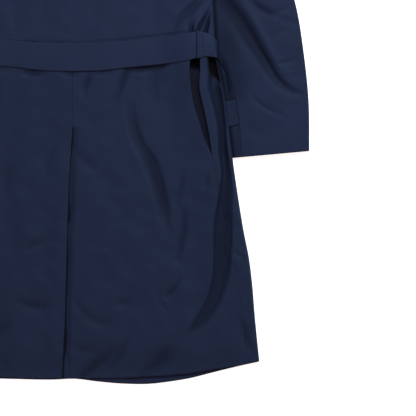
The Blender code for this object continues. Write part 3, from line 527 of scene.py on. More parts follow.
SKIRT_FOLDS = (
    # the hollow under the belt's end that runs on as a valley down the side
    (0.1, ((245, 13, 7.5, 20), (246, -8, 7.5, 20), (247, -22, 8, 19), (248, -36, 9.8, 16),
          (248, -53, 10.5, 13), (253, -74, 9.5, 12), (261, -118, 7.7, 11), (263, -162, 7.4, 10.5),
          (264, -186, 7, 4.5), (266, -211, 7, 0.5)), 3),
    (0.45, ((263, -155, 7, 0.5), (264, -179, 7.7, 6), (266, -206, 8.4, 9.5), (261, -249, 9.8, 10.5),
          (256, -293, 12.2, 11), (255, -337, 12.2, 11), (253, -381, 11.2, 11), (242, -423, 9.5, 10),
          (229, -447, 8.8, 9), (214, -470, 7, 6), (200, -491, 5.6, 0.8)), 0),
    # a narrow gap beside the edge
    (0, ((251, -18, 3.1, 4), (255, -32, 3, 9), (260, -45, 2.4, 7), (263, -53, 1.8, 0.8))),
    # its sharpest lines
    (0, ((275, -274, 3.1, 0.3), (276, -311, 3.1, 1.6), (274, -351, 3.1, 1.6), (269, -389, 3.1, 0.3))),
    (0, ((244, -407, 3.5, 0.3), (234, -431, 3.5, 1.6), (223, -449, 3.5, 1.8), (209, -470, 3.5, 1.4),
          (197, -494, 3.5, 0.3))),
    (-0.2, ((101, -74, 7.9, 0.4), (103, -95, 7.9, 2.4), (108, -123, 8.4, 4), (118, -151, 8.8, 4.4),
          (132, -172, 9.5, 5.4), (142, -193, 9.8, 6.2), (151, -221, 9.5, 6.2), (159, -256, 8.8, 5.4),
          (164, -284, 8, 3.6), (168, -312, 7.4, 0.4)), 0),
    (0, ((193, -200, 5.2, 0.46), (189, -225, 5.2, 2.98), (183, -249, 5.2, 2.75), (181, -263, 5.2, 0.69))),
    (0, ((193, -260, 4.5, 0.46), (194, -281, 4.9, 3.6), (194, -304, 4.9, 4.6), (189, -330, 4.9, 4.4),
          (184, -351, 4.9, 3), (180, -365, 4.5, 0.46))),
    (0, ((188, -377, 4.2, 0.46), (184, -395, 4.2, 2.98), (174, -409, 4.2, 4.13),
          (164, -419, 4.2, 2.75), (157, -424, 4.2, 0.46))),
    (0, ((148, -412, 4.2, 0.46), (153, -426, 4.2, 2.07), (160, -437, 4.2, 2.07), (169, -444, 4.2, 0.46))),
    (0, ((31, -25, 4.9, 4.13), (27, -38, 4.9, 4.13), (21, -53, 4.9, 3.21), (17, -69, 4.9, 0.46))),
    (0, ((97, -22, 5.2, 5.05), (88, -38, 5.2, 4.59), (82, -57, 5.2, 3.9), (74, -73, 5.2, 2.52),
          (62, -87, 5.2, 0.46))),
    (0, ((144, -18, 14, 4.59), (143, -57, 14, 3.21), (143, -99, 14, 0.46))),
    (0, ((3, -155, 10.5, 0.46), (13, -171, 10.5, 2.07), (27, -186, 10.5, 2.07), (45, -207, 10.5, 0.46))),
    (0, ((237, -204, 4.2, 0.46), (234, -218, 4.2, 2.52), (228, -235, 4.2, 0.46))),
    (0, ((3, -423, 7.9, 0.69), (17, -444, 7.9, 2.52), (32, -458, 7.9, 2.98), (50, -465, 7.9, 2.52),
          (69, -463, 7.9, 0.46))),
    (0, ((69, -433, 7, 0.46), (88, -430, 7, 2.29), (106, -426, 7, 0.46))),
    (0.2, ((13, -561, 8, 4.6), (34, -543, 8.8, 6.4), (55, -526, 8.8, 5.8), (80, -503, 8, 0.9))),
    (0, ((-8, -507, 8.8, 0.92), (17, -512, 8.8, 2.75), (38, -514, 8.8, 2.29), (57, -512, 8.8, 0.46))),
    (0.2, ((69, -540, 7.7, 3.4), (81, -524, 8, 5), (90, -508, 7.7, 3.6), (101, -491, 7, 0.6))),
    (0, ((122, -554, 10.5, 3.4), (141, -540, 14, 5.4), (164, -522, 15.8, 5.6), (181, -501, 14, 0.8))),
    (0, ((288, -449, 7, 0.46), (297, -468, 7, 2.75), (305, -494, 7, 3.44), (311, -515, 7, 1.38))),
    (0, ((277, -337, 4.2, 0.46), (288, -344, 4.2, 2.29), (302, -351, 4.2, 0.46))),
    (0, ((-87, -28, 4.5, 0.92), (-76, -28, 4.9, 5.05), (-59, -28, 4.9, 5.05), (-46, -28, 4.5, 0.69))),
    (0, ((-15, -28, 4.5, 1.38), (-6, -28, 4.9, 4.59), (6, -28, 4.9, 4.13), (17, -27, 4.5, 0.69))),
    (0, ((34, -28, 4.5, 0.92), (45, -27, 4.9, 4.13), (59, -26, 4.9, 3.67), (71, -25, 4.5, 0.46))),
    (0, ((94, -22, 5.2, 3.67), (113, -20, 6, 6.43), (136, -17, 6, 6.43), (157, -15, 5.2, 3.67),
          (171, -13, 4.5, 0.46))),
    (0, ((-22, -144, 10.5, 0.46), (-34, -165, 8.8, 1.84), (-46, -190, 8.8, 2.07), (-50, -211, 8.8, 0.46))),
    (0, ((-102, -419, 8.8, 0.46), (-81, -433, 8, 3.21), (-57, -437, 8, 3.67), (-38, -428, 8, 0.69))),
    (0, ((-92, -340, 8.8, 0.46), (-71, -330, 8.8, 2.52), (-50, -321, 8.8, 2.52), (-27, -314, 8.8, 0.46))),
    (0, ((-151, -487, 10.5, 0.92), (-127, -477, 10.5, 3.44), (-111, -461, 10.5, 2.07),
          (-102, -445, 10.5, 0.46))),
    (0, ((-113, -162, 12.2, 0.46), (-116, -214, 14, 2.07), (-109, -274, 12.2, 0.46))),
    # the hidden left side
    (0, ((-245, 13, 7, 20), (-246, -8, 6, 20), (-248, -20, 6, 17), (-253, -34, 5, 9),
         (-260, -46, 3.5, 2)), 4),
    (0, ((-248, -28, 7, 6), (-253, -58, 8, 8), (-259, -110, 7, 8), (-263, -170, 8, 7.5),
         (-272, -240, 10, 8), (-274, -300, 13, 8), (-267, -352, 13, 8), (-252, -400, 10, 7),
         (-230, -436, 8, 5), (-206, -456, 6, 0.8)), 3),
    (-0.2, ((-146, -60, 8, 0.3), (-150, -112, 8, 1.9), (-162, -152, 8, 2.8), (-172, -205, 8, 3.2),
            (-168, -262, 8, 2.8), (-158, -326, 8, 0.4))),
    (0, ((-204, -186, 6, 0.3), (-198, -240, 6, 1.6), (-206, -296, 6, 1.9), (-196, -350, 6, 0.4))),
    (0, ((-172, -384, 5, 0.2), (-180, -406, 5, 1.6), (-170, -426, 5, 0.3))),
    (0, ((-209, 6, 7, 5), (-211, -8, 7, 7), (-213, -22, 6, 4), (-214, -39, 5, 1))),
    (0, ((-120, -22, 6, 0.6), (-146, -17, 6, 2.6), (-168, -12, 5, 1.0))),
    (0, ((-140, -30, 5, 2), (-132, -56, 5, 1.6), (-138, -84, 5, 0.2))),
    (0.2, ((-98, -558, 8, 1.8), (-118, -534, 8, 2), (-150, -504, 8, 0.3))),
    (0, ((-176, -540, 14, 1.6), (-200, -506, 14, 1.6), (-212, -480, 12, 0.2))),
    (0, ((-298, -420, 8, 0.3), (-304, -466, 8, 1.5), (-312, -508, 8, 0.7))),
)
# The cloth beside the vent's edge sinks under it, deepest where the photo shows its dark gap.
VENT_SINK = (
    (0, ((3, -124, 5, 0.4), (1, -160, 5, 0.9), (-1, -200, 5, 1.2), (-2, -240, 5, 2),
         (-3, -266, 6, 2.8), (-5, -296, 5, 1.4), (-7, -330, 5, 1.4), (-7, -362, 6, 2.4),
         (-8, -400, 6, 1.6), (-9, -436, 5, 1.4), (-10, -470, 6, 2), (-12, -500, 7, 2.8),
         (-13, -530, 7, 2.6), (-16, -568, 6, 1.8))),
)

# How wide the painted shadow of the gap beside the edge is.
VENT_GAP = {
    "columns": ("y", "width"),
    "rows": (
        (-123, 0.6), (-132, 1.8), (-146, 2.6), (-158, 1.8), (-200, 1.0), (-244, 1.6), (-264, 3.6),
        (-284, 4.6), (-293, 1.8), (-330, 1.6), (-352, 2.6), (-400, 2.6), (-430, 1.8), (-470, 3.0),
        (-490, 4.4), (-512, 5.0), (-524, 2.8), (-566, 3.2),
    ),
}


def straight_columns(kind, places):
    """Columns of a layer that keep their x from neck to hem."""
    return [(kind, lambda y, x=x: x + 0 * y) for x in places]


skirt_shares = shares_of((0.0, 0.03, 8), (0.03, 0.8, 60), (0.8, 1.0, 26))
lap_xs = np.append(np.linspace(-UNDERLAP, -25.0, 6), np.arange(-23.0, -0.5))
vent_row = row_at(VENT_TOP_Y, -2, -3, 0.0)
skirt_rows = np.concatenate((
    shares_of((0.0, -1.0, 4), (-1.0, -2.0, 4), (-2.0, vent_row, 34)),
    shares_of((vent_row, -3.0, 140))[1:],
))
first_vent_row = int(np.argmin(np.abs(skirt_rows - vent_row)))
below = skirt_rows <= skirt_rows[first_vent_row]
for side, hand in HANDS:
    lap = straight_columns("top", lap_xs) if side > 0 else []
    columns = lap + back_columns(skirt_shares)
    points = ring(side, columns, skirt_rows, folds=SKIRT_FOLDS)
    centre = len(lap)
    points[centre, :, 0] = side * SEAM / 2
    points[-1, :, 0] -= side * SEAM / 2
    x, y = points[:, :, 0], points[:, :, 1]
    if side < 0:
        shift = (read(VENT_EDGE, "x", y) - x[:1]) * below
        points[:, :, 0] += shift * fade(-x, 0.0, EDGE_PULL)
        lifted = fade(-x, *EDGE_LIFT_STRIP) * below
        points[:, :, 2] += EDGE_LIFT * lifted * ease(y, VENT_TOP_Y, -60.0)
        # painted shade in the folds
        painted_dark = shade_in(SKIRT_FOLDS, points)
    else:
        past = x - read(VENT_EDGE, "x", y)
        sunk = VENT_DIP * fade(past, 1.0, VENT_DIP_WIDTH) + fold_depth(VENT_SINK, x, y)
        sunk = sunk * below * ease(y, VENT_TOP_Y + 2.4, -8.0)
        points[:, :, 2] = np.maximum(points[:, :, 2] - sunk, UNDERLAP_LOW)
        # painted shade beside the vent's edge: its dark gap and a softer shade past it, with the folds'
        # painted shade
        beside_edge = ease(past, -2.0, 1.5) * below
        gap = GAP_SHADE * fade(past, read(VENT_GAP, "width", y), 1.6)
        soft = GAP_SOFT_SHADE * fade(past, 1.5, 6.0)
        painted_dark = np.maximum(shade_in(SKIRT_FOLDS, points), np.maximum(gap, soft) * beside_edge)
    keep = np.ones((len(columns) - 1, len(skirt_rows) - 1), bool)
    keep[:centre, :first_vent_row] = False
    piece = cloth("back_skirt_cloth_" + hand, points, navy, flip=side > 0, keep=keep, painted_shade=painted_dark)
    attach(piece, "root")
    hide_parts("back_skirt_" + hand)


def stitch_tree():
    """Stitches along a curve, a pitch apart, as small beads of thread."""
    tree = bpy.data.node_groups.new("stitch_row", "GeometryNodeTree")
    face = tree.interface
    face.new_socket("Row", in_out="INPUT", socket_type="NodeSocketGeometry")
    for title in ("Pitch", "Stitch length", "Thread width"):
        face.new_socket(title, in_out="INPUT", socket_type="NodeSocketFloat")
    face.new_socket("Thread", in_out="INPUT", socket_type="NodeSocketMaterial")
    face.new_socket("Stitches", in_out="OUTPUT", socket_type="NodeSocketGeometry")
    given = add_node(tree, "NodeGroupInput").outputs
    spots = add_node(tree, "GeometryNodeCurveToPoints", {"mode": "LENGTH"}, Curve=given["Row"],
                     Length=given["Pitch"])
    turn = add_node(tree, "FunctionNodeAlignRotationToVector", {"axis": "X"},
                    Vector=spots.outputs["Tangent"])
    bead = add_node(tree, "GeometryNodeMeshUVSphere", Segments=6, Rings=4, Radius=0.5)
    size = add_node(tree, "ShaderNodeCombineXYZ", X=given["Stitch length"], Y=given["Thread width"],
                    Z=given["Thread width"])
    drawn = add_node(tree, "GeometryNodeTransform", Geometry=bead.outputs["Mesh"],
                     Scale=size.outputs[0])
    uneven = add_node(tree, "FunctionNodeRandomValue", {"data_type": "FLOAT"}, _2=0.88, _3=1.08,
                      Seed=5)
    placed = add_node(tree, "GeometryNodeInstanceOnPoints", Points=spots.outputs["Points"],
                      Instance=drawn.outputs[0], Rotation=turn.outputs[0], Scale=uneven.outputs[1])
    real = add_node(tree, "GeometryNodeRealizeInstances", Geometry=placed.outputs[0])
    smooth = add_node(tree, "GeometryNodeSetShadeSmooth", Geometry=real.outputs[0])
    dyed = add_node(tree, "GeometryNodeSetMaterial", Geometry=smooth.outputs[0],
                    Material=given["Thread"])
    add_node(tree, "NodeGroupOutput", Stitches=dyed.outputs[0])
    return tree


stitch_row = stitch_tree()


def sew(name, lines, pitch=3.2, length=2.5, width=0.55):
    """A mesh of stitches along lines of points in mm. Real thread is 0.3 mm thick; it is drawn
    thicker so that the rows show."""
    curve = bpy.data.curves.new(name, "CURVE")
    curve.dimensions = "3D"
    for line in lines:
        spots = (np.array(line) + (0, WAIST_Y, 0)) * MM
        spline = curve.splines.new("POLY")
        spline.points.add(len(spots) - 1)
        spline.points.foreach_set("co", np.append(spots, np.ones((len(spots), 1)), 1).ravel())
    row = put(name + "_row", curve)
    stitcher = row.modifiers.new("stitches", "NODES")
    stitcher.node_group = stitch_row
    values = {"Pitch": pitch * MM, "Stitch length": length * MM, "Thread width": width * MM,
              "Thread": thread}
    for socket in stitch_row.interface.items_tree:
        if socket.in_out == "INPUT" and socket.name in values:
            stitcher[socket.identifier] = values[socket.name]
    scene_graph = bpy.context.evaluated_depsgraph_get()
    mesh = bpy.data.meshes.new_from_object(row.evaluated_get(scene_graph))
    bpy.data.objects.remove(row)
    piece = put(name, mesh)
    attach(piece, "root")
    return piece


def thread_finish():
    """Spun polyester sewing thread: dyed to match, a little glossier and darker than the cloth,
    with its two plies wound 1 mm to the turn."""
    finish, tree, shader = new_finish("navy_polyester_thread", Roughness=0.5)
    ply_turn = 1.0 * MM
    place = add_node(tree, "ShaderNodeTexCoord").outputs["Object"]
    plies = add_node(tree, "ShaderNodeTexNoise", Vector=place, Scale=1 / ply_turn, Detail=2.0)
    dyed = add_node(tree, "ShaderNodeMix", {"data_type": "RGBA"}, _0=plies.outputs[0],
                    _6=linear("#141A2D"), _7=linear("#222B45"))
    tree.links.new(dyed.outputs[2], shader.inputs["Base Color"])
    return finish


thread = thread_finish()


def slanted_row(start, end, steps, side=1):
    """A line of points on the back's cloth from one (x, y) to another."""
    share = np.linspace(0, 1, steps)
    x, y = side * mix(start[0], end[0], share), mix(start[1], end[1], share)
    return np.stack((x, y, back_height(x, y, SKIRT_FOLDS) + STITCH_LIFT), -1)


vent_stitches = sew("vent_stitches", [slanted_row(*VENT_STITCH, 14)])


# ------------------------------------------------------------------------------ fronts
# Each front is one gabardine piece from the side seam on the back, round the side and on under the
# coat to its edge past the centre. The left front lies on the surface and the right one on it.

# Each side has a dark hole beside the belt and a valley that runs down from it, painted as shade: fold
# lines again, with a share of painted shade in place of the depth.
PAINTED_HOLLOW_SHADE = tuple(
    fold
    for s in (-1, 1)
    for fold in (
        (0, ((s * 243.5, 12, 9.4, 1), (s * 244.8, -8, 9.6, 1), (s * 246.4, -21, 9.2, 1),
             (s * 248, -27, 7.4, 1), (s * 255, -37, 3.2, 0.9), (s * 260, -48, 2, 0.4)), 5),
        (0, ((s * 246, -34, 7, 0.1), (s * 248, -52, 7.5, 0.5), (s * 254, -80, 7, 0.55),
             (s * 261, -118, 6.5, 0.6), (s * 264, -160, 7, 0.55), (s * 267, -196, 8, 0.2)), 3),
    )
)


def front_columns(shares):
    """Columns of a front on the upper layer, from the side seam to the rounded edge."""
    return [("top", lambda y, s=s: mix(read(BODY, "seam", y) + SEAM / 2, corner_x(y), s))
            for s in shares]


def under_columns(shares):
    """Columns of the lower layer, from the side to where the fronts overlap."""
    def start(y):
        return np.where(y > UNDERARM_Y - 0.5, read(ARMHOLE, "x", y), corner_x(y))
    return [("under", lambda y, s=s: mix(start(y), STEP_X, s)) for s in shares]


edge_columns = [("edge", float(a)) for a in np.linspace(9, 171, 14)]
front_rows = np.concatenate((
    -shares_of((3.0, -vent_row, 120), (-vent_row, 2.0, 34)),
    shares_of((-2.0, -1.0, 4), (-1.0, 1.0, 6), (1.0, 2.0, 3), (2.0, 2.26, 56),
              (2.26, underarm_row, 8))[1:],
    shoulder_rows[2::2],
))
last_side_row = int(np.argmin(np.abs(front_rows - underarm_row)))
upper = front_columns(np.linspace(0, 1, 30)) + edge_columns
inner = straight_columns("under", np.linspace(OVERLAP, -OVERLAP, 16))
columns = upper + under_columns(np.linspace(0, 1, 16)) + inner
for side, hand in HANDS:
    points = ring(side, columns, front_rows, "front", folds=SKIRT_FOLDS + BODICE_FOLDS)
    # painted shade in the hole and valley beside the belt, and in the folds
    painted_dark = fold_depth(PAINTED_HOLLOW_SHADE, points[:, :, 0], points[:, :, 1])
    painted_dark = np.maximum(painted_dark, shade_in(SKIRT_FOLDS + BODICE_FOLDS, points))
    painted_dark[len(upper) - len(edge_columns) // 2:] = 0.0      # the side's lower half and the underneath
    points[len(upper), last_side_row + 1:, 0] -= side * SEAM / 2
    if side > 0:
        points[len(upper):, :, 2] += inner_rise(np.maximum(points[len(upper):, :, 0], 0.0))
    keep = np.ones((len(columns) - 1, len(front_rows) - 1), bool)
    keep[:len(upper), last_side_row:] = False
    piece = cloth("front_cloth_" + hand, points, navy, flip=side < 0, keep=keep, painted_shade=painted_dark)
    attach(piece, "root")
    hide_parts("front_" + hand)


# ------------------------------------------------------------------------------ pocket facings
# A facing of navy twill closes each side pocket's mouth a little way inside it, sewn under
# the back's edge and the front's. It sinks towards the bag and is darkened with painted shade,
# darkest under the belt, so the mouth reads as a dark slot.
POCKET_DEPTH = 4.6
POCKET_TOP_DEPTH = 12.0       # what the belt's dark hole adds to it
POCKET_TOP_Y = -17.0
POCKET_GAP = 0.9
FACING_WALL = 1.2
FACING_LOW = 5.6              # no part of the facing goes lower
FACING_SHADE = 0.46
MOUTH_WIDTH = 12.0            # from this width on the mouth has its full depth
MOUTH_STITCH = ((220.0, -177.5), (246.0, -171.5))
# Places across the mouth: the share of its width, what is added to that, and how far the facing
# sinks there.
FACING = {
    "columns": ("share", "shift", "sink"),
    "rows": (
        (0, -12.0, 0.0), (0, -5.0, 0.0), (0, -1.0, 0.25), (0.15, 0, 0.7), (0.35, 0, 0.9),
        (0.65, 0, 0.8), (0.85, 0, 0.6), (1, 1.0, 0.4), (1, 4.0, 0.3), (1, 8.0, 0.3),
    ),
}
lining = gabardine("navy_pocket_twill", "#191E30", "#151929", roughness=0.8)


def beside(share, shift):
    """A column across the pocket's mouth."""
    return ("top", lambda y: mix(body_side(y), read(BODY, "seam", y), share) + shift)


facing_columns = [beside(share, shift) for share, shift, _ in FACING["rows"]]
facing_rows = shares_of((-1.0, -2.0, 3), (-2.0, -2.36, 116))
sink = np.array([[drop] for _, _, drop in FACING["rows"]])
for side, hand in HANDS:
    points = ring(side, facing_columns, facing_rows, out=-CLOTH - POCKET_GAP)
    y = points[:, :, 1]
    depth = POCKET_DEPTH + POCKET_TOP_DEPTH * fade(y, POCKET_TOP_Y, -8.0)
    points[:, :, 2] -= sink * depth * ease(read(BODY, "mouth", y), 0.0, MOUTH_WIDTH)
    points[:, :, 2] = np.maximum(points[:, :, 2], FACING_LOW)
    # painted shade over the sunk facing: full under the belt's dark hole, FACING_SHADE below it
    painted_dark = np.maximum(fade(y, POCKET_TOP_Y, -6.0), FACING_SHADE) * (sink > 0)
    piece = cloth("pocket_facing_cloth_" + hand, points, lining, wall=FACING_WALL, flip=side > 0,
                  painted_shade=painted_dark)
    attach(piece, "root")
    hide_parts("pocket_facing_" + hand)

# The lower end of each mouth is held by a short slanted row of stitches through back and front.
mouth_ends = [slanted_row(*MOUTH_STITCH, 12, side) for side in (-1, 1)]
sew("pocket_stitches", mouth_ends, pitch=2.4, length=2.0)


# ------------------------------------------------------------------------------ sleeves
# Each sleeve is a wide top sleeve and a narrow under sleeve of gabardine, sewn along the arm and set
# into the armhole. It lies beside the body, and its folds run from the elbow to the outer edge.
SLEEVE = {
    "columns": ("row", "inner_y", "outer_x", "outer_y", "reach", "height", "hind", "fore"),
    "rows": (
        (0.00, 134.5, 205.6, 350, 3.0, 9.0, 0.12, 0.16), (0.12, 117, 264, 323, 4.0, 13.0, 0.02, 0.20),
        (0.25, 92, 324, 262, 4.5, 17.0, -0.06, 0.24), (0.40, 54, 366, 172, 5.0, 19.5, -0.07, 0.28),
        (0.55, 4, 391.5, 90, 5.0, 19.5, -0.02, 0.30), (0.70, -52, 405, 8, 5.0, 17.0, 0.085, 0.31),
        (0.85, -112, 413.5, -76, 4.5, 14.0, 0.12, 0.32),
        (1.00, -176, 414.8, -163.6, 4.0, 10.5, 0.11, 0.32),
    ),
}
SLEEVE_GAP = -2.4      # it is pressed against the body,
SLEEVE_BELT_GAP = 1.6  # and less so at the belt
SLEEVE_WIDTH = 140.0
SLEEVE_GRAIN = (155.0, -520.0)    # its flat width and, downwards, its length
SLEEVE_EDGE = 0.08     # the share of its width that each rounded edge takes
SLEEVE_LOW = 4.2       # no fold goes lower
SLEEVE_ROUND = 2.2     # its height at the rounded edge, in reaches
HEAD_END = 0.3         # the part of its length that is drawn to the armhole
HEAD_START = (242.6, 229.8)       # x of the head's first two points, under the arm
# The parts of the way from the belt to the shoulder at which the head's other points lie.
ARMHOLE_ROWS = (0.38, 0.45, 0.55, 0.66, 0.77, 0.88, 0.95, 1.0)
UNDERARM_RISE = 4.0    # of the inner edge at the head
BELT_GAP_Y = 10.0      # where the belt holds it off, and half the height of that place
BELT_GAP_HALF = 16.0
SLEEVE_FOLDS = (
    (-0.35, ((253, 129, 12.2, 4), (265, 106, 14, 7), (279, 85, 14.7, 8.5), (295, 64, 14, 8.8),
          (309, 43, 12.2, 8.8), (324, 18, 10.5, 8.6), (339, -6, 8.8, 8.2), (354, -31, 7.7, 7.4),
          (369, -47, 7, 6), (385, -58, 6.3, 4.2), (402, -64, 5.2, 0.8))),
    (0, ((291, 101, 7.4, -0.6), (309, 76, 7, -2.2), (325, 50, 6.6, -3), (339, 25, 6.3, -3),
          (354, -3, 6.3, -2.8), (370, -25, 6.6, -1.8), (393, -45, 7, -0.3))),
    (0, ((304, 111, 4.9, 1.6), (316, 95, 4.9, 3.8), (332, 83, 4.9, 4.4), (346, 76, 4.9, 3.2),
          (360, 74, 4.9, 0.5))),
    (0, ((349, 76, 4.5, 0.4), (365, 82, 4.5, 1.6), (381, 87, 4.5, 0.3))),
    (0, ((351, 73, 4.5, 0.6), (368, 67, 4.5, 1.6), (386, 62, 4.5, 1.4), (400, 59, 4.5, 0.3))),
    (0.2, ((311, -64, 4.5, 0.2), (321, -76, 4.5, 1.7), (335, -87, 4.5, 2), (353, -96, 4.5, 1.7),
          (377, -108, 4.5, 0.2))),
    (0, ((353, -15, 3.5, 0.3), (363, -11, 3.5, 1.6), (377, -8, 3.5, 1.6), (391, -5, 3.5, 0.3))),
    (0, ((356, 41, 3.1, 0.2), (365, 44, 3.1, 1.1), (379, 47, 3.1, 0.2))),
    (0, ((365, -35, 3.9, 0.2), (381, -33, 3.9, 0.9), (405, -34, 3.9, 0.3))),
    (0, ((257, 1, 5.2, 2), (261, -15, 7, 7), (265, -36, 7.7, 8.5), (269, -57, 7, 7.5), (271, -69, 5.2, 2))),
    (0, ((304, -109, 10.5, 0.2), (318, -130, 10.5, 0.9), (342, -148, 10.5, 0.2))),
    # up the hidden part of the arm
    (0, ((250, 252, 14, 0.6), (280, 214, 14, 4), (292, 172, 13, 4.6), (268, 140, 10, 3))),
    (0, ((300, 240, 10, 0.4), (318, 206, 10, 2.4), (330, 172, 9, 2), (338, 140, 8, 0.3))),
    (0, ((236, 300, 8, 0.3), (256, 286, 9, 1.6), (282, 268, 9, 1.2), (300, 262, 8, 0.2))),
)


def sleeve_head(share):
    """The armhole curve that the sleeve starts from, a seam's gap outside the body's edge."""
    place = share * (len(ARMHOLE_ROWS) + 1)
    rows = 2 + np.interp(place - 2, range(len(ARMHOLE_ROWS)), ARMHOLE_ROWS)
    x = np.full(share.shape, SHOULDER[0])
    for _ in range(8):
        y = row_line(rows, x, "back")
        x = body_side(y)
    first = np.minimum(place, 1.0)
    second = np.clip(place - 1.0, 0.0, 1.0)
    head_x = mix(mix(*HEAD_START, first), x + SEAM, second)
    under_y = row_line(np.full(share.shape, underarm_row), head_x, "back") + SEAM
    return np.stack((head_x, mix(under_y, y, second)), -1)


def sleeve_net(around, rows, out=0.0, folds=()):
    """Points of the sleeve's outer face. around runs 0 to 1 across the top from the inner edge to
    the outer one, and 1 to 2 back underneath; a bit at each end is the round edge."""
    around = np.mod(around, 2.0)
    under = around > 1.0
    across = np.where(under, 2.0 - around, around)
    inner_y, reach = read(SLEEVE, "inner_y", rows), read(SLEEVE, "reach", rows)
    belt_gap = SLEEVE_BELT_GAP * np.exp(-((inner_y - BELT_GAP_Y) / BELT_GAP_HALF) ** 4)
    inner = np.stack((read(BODY, "edge", inner_y) + SLEEVE_GAP + belt_gap, inner_y), -1)
    outer = np.stack((read(SLEEVE, "outer_x", rows), read(SLEEVE, "outer_y", rows)), -1)
    width = np.linalg.norm(outer - inner, axis=-1, keepdims=True)
    along = (outer - inner) / width
    turn = np.minimum(np.minimum(across, 1.0 - across) / SLEEVE_EDGE, 1.0) * math.pi / 2
    share = np.clip((across - SLEEVE_EDGE) / (1.0 - 2 * SLEEVE_EDGE), 0.0, 1.0)
    spot = inner + along * (reach + share * (width[..., 0] - 2 * reach))[..., None]
    # the net is drawn to the armhole's curve at its head
    head = sleeve_head(share)
    straight = mix(sleeve_head(0 * share), sleeve_head(0 * share + 1), share[..., None])
    bend = np.maximum(1.0 - rows / HEAD_END, 0.0)[..., None] ** 2
    spot = np.where(rows[..., None] == 0.0, head, spot + bend * (head - straight))
    round_out = (reach + out) * np.cos(turn) * np.where(across < 0.5, -1, 1)
    spot = spot + along * round_out[..., None]
    x, y = spot[..., 0], spot[..., 1]
    edge_height = SLEEVE_ROUND * reach + UNDERARM_RISE * fade(rows, 0.0, 0.2) * (1 - share)
    height = mix(edge_height, read(SLEEVE, "height", rows), ease(np.minimum(share, 1 - share), 0.0, 0.3))
    seam_height = mix(SHOULDER_HEIGHT, SEAM_HEIGHT, share ** 4)
    height = mix(height, seam_height, fade(rows, 0.0, 0.12))
    if folds:
        worn = height - fold_depth(folds, x, y) + rumple(x, y, 11, 0.35)
        height = np.maximum(worn, np.minimum(height, SLEEVE_LOW))
    rise = (height / 2 + out) * np.sin(turn) * np.where(under, -1, 1)
    return np.stack((x, y, height / 2 + rise), -1)


# Painted shade where the sleeve's cloth is turned a little from the light, as fold lines with shares of
# shade.
SLEEVE_SHADES = (
    (0, ((319, 118, 24, 0.08), (354, 69, 26, 0.14), (384, 17, 24, 0.14), (398, -36, 20, 0.04))),
    (0, ((262, 109, 13, 0.12), (279, 80, 14, 0.22), (300, 48, 14, 0.22), (319, 17, 13, 0.18),
         (335, -8, 12, 0.06))),
)


def sleeve_part(start, end, shares, rows, side, out=0.0):
    """The net, its grain and its painted shade, from a seam's gap past one line along the sleeve
    to the next line."""
    lee_dark, lee_soft, most = 0.8, 0.26, 0.3
    rows, shares = np.broadcast_arrays(np.atleast_2d(rows), np.reshape(shares, (-1, 1)))
    around = mix(start(rows) + SEAM / SLEEVE_WIDTH, end(rows), shares)
    points = sleeve_net(around, rows, out, SLEEVE_FOLDS)
    # painted shade: the arm also lies in the shade of the body's side, and its folds and the cloth turned
    # from the light are darkened too
    past = points[..., 0] - read(BODY, "edge", points[..., 1])
    soft = lee_soft * fade(past, 4.0, 85.0) * fade(rows, 0.72, 0.1)
    lee = np.maximum(lee_dark * fade(past, 2.0, 9.0), soft)
    shade = np.maximum(shade_in(SLEEVE_FOLDS, points, most), lee * ease(rows, 0.18, 0.08))
    shade = shade + fold_depth(SLEEVE_SHADES, points[..., 0], points[..., 1])
    shade = shade * (around > 0) * (around < 1)
    points[..., 0] *= side
    return points, np.stack((around, rows), -1) * SLEEVE_GRAIN, shade


def hind(rows):
    """The seam on top, near the body."""
    return SLEEVE_EDGE + (1 - 2 * SLEEVE_EDGE) * read(SLEEVE, "hind", rows)


def fore(rows):
    """The seam underneath."""
    return -SLEEVE_EDGE - (1 - 2 * SLEEVE_EDGE) * read(SLEEVE, "fore", rows)


STRAP_ROWS = (0.76, 0.874)        # where the strap lies along the sleeve
STRAP_SLANT = 0.034               # of its upper edge, across the sleeve
STRAP_START = 0.64                # the share of the under sleeve's width where it starts
sleeve_rows = shares_of((0.0, 0.45, 50), (0.45, 1.0, 100))
top_shares = shares_of((0.0, 0.47, 56), (0.47, 0.58, 14), (0.58, 1.0, 14))
under_shares = shares_of((0.0, 0.6, 12), (0.6, 1.0, 24))
# Painted shade: the under sleeve is dimmer than the top one, more above the strap, and darkest beside its
# edge.
UNDER_SHADE = 0.4
CUFF_LIGHT = 0.15                 # what is taken from that below the strap's edge
EDGE_SHADE = 0.4
EDGE_SHADE_UP = 0.008             # how far above the strap's edge, in rows, and how wide
EDGE_SHADE_WIDTH = 0.007
under_shade = UNDER_SHADE * ease(sleeve_rows, 0.5, 0.1) - CUFF_LIGHT * ease(sleeve_rows, 0.74, 0.02)
strap_edge = STRAP_ROWS[0] - EDGE_SHADE_UP + STRAP_SLANT * (under_shares[:, None] - STRAP_START)
edge_shade = EDGE_SHADE * np.exp(-((sleeve_rows - strap_edge) / EDGE_SHADE_WIDTH) ** 2)
under_shade = under_shade + edge_shade
for side, hand in HANDS:
    points, grain, shade = sleeve_part(hind, lambda rows: 2.0 + fore(rows), top_shares, sleeve_rows,
                                       side)
    top = cloth("sleeve_top_cloth_" + hand, points, navy, flip=side > 0, grain=grain, painted_shade=shade)
    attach(top, "root")
    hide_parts("sleeve_top_" + hand)
    points, grain, shade = sleeve_part(fore, hind, under_shares, sleeve_rows, side)
    points[..., 2] = np.maximum(points[..., 2], CLOTH * fade(sleeve_rows, 0.1, 0.08))
    shade = np.maximum(shade, under_shade)
    under = cloth("sleeve_under_cloth_" + hand, points, navy, flip=side > 0, grain=grain, painted_shade=shade)
    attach(under, "root")
    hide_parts("sleeve_under_" + hand)


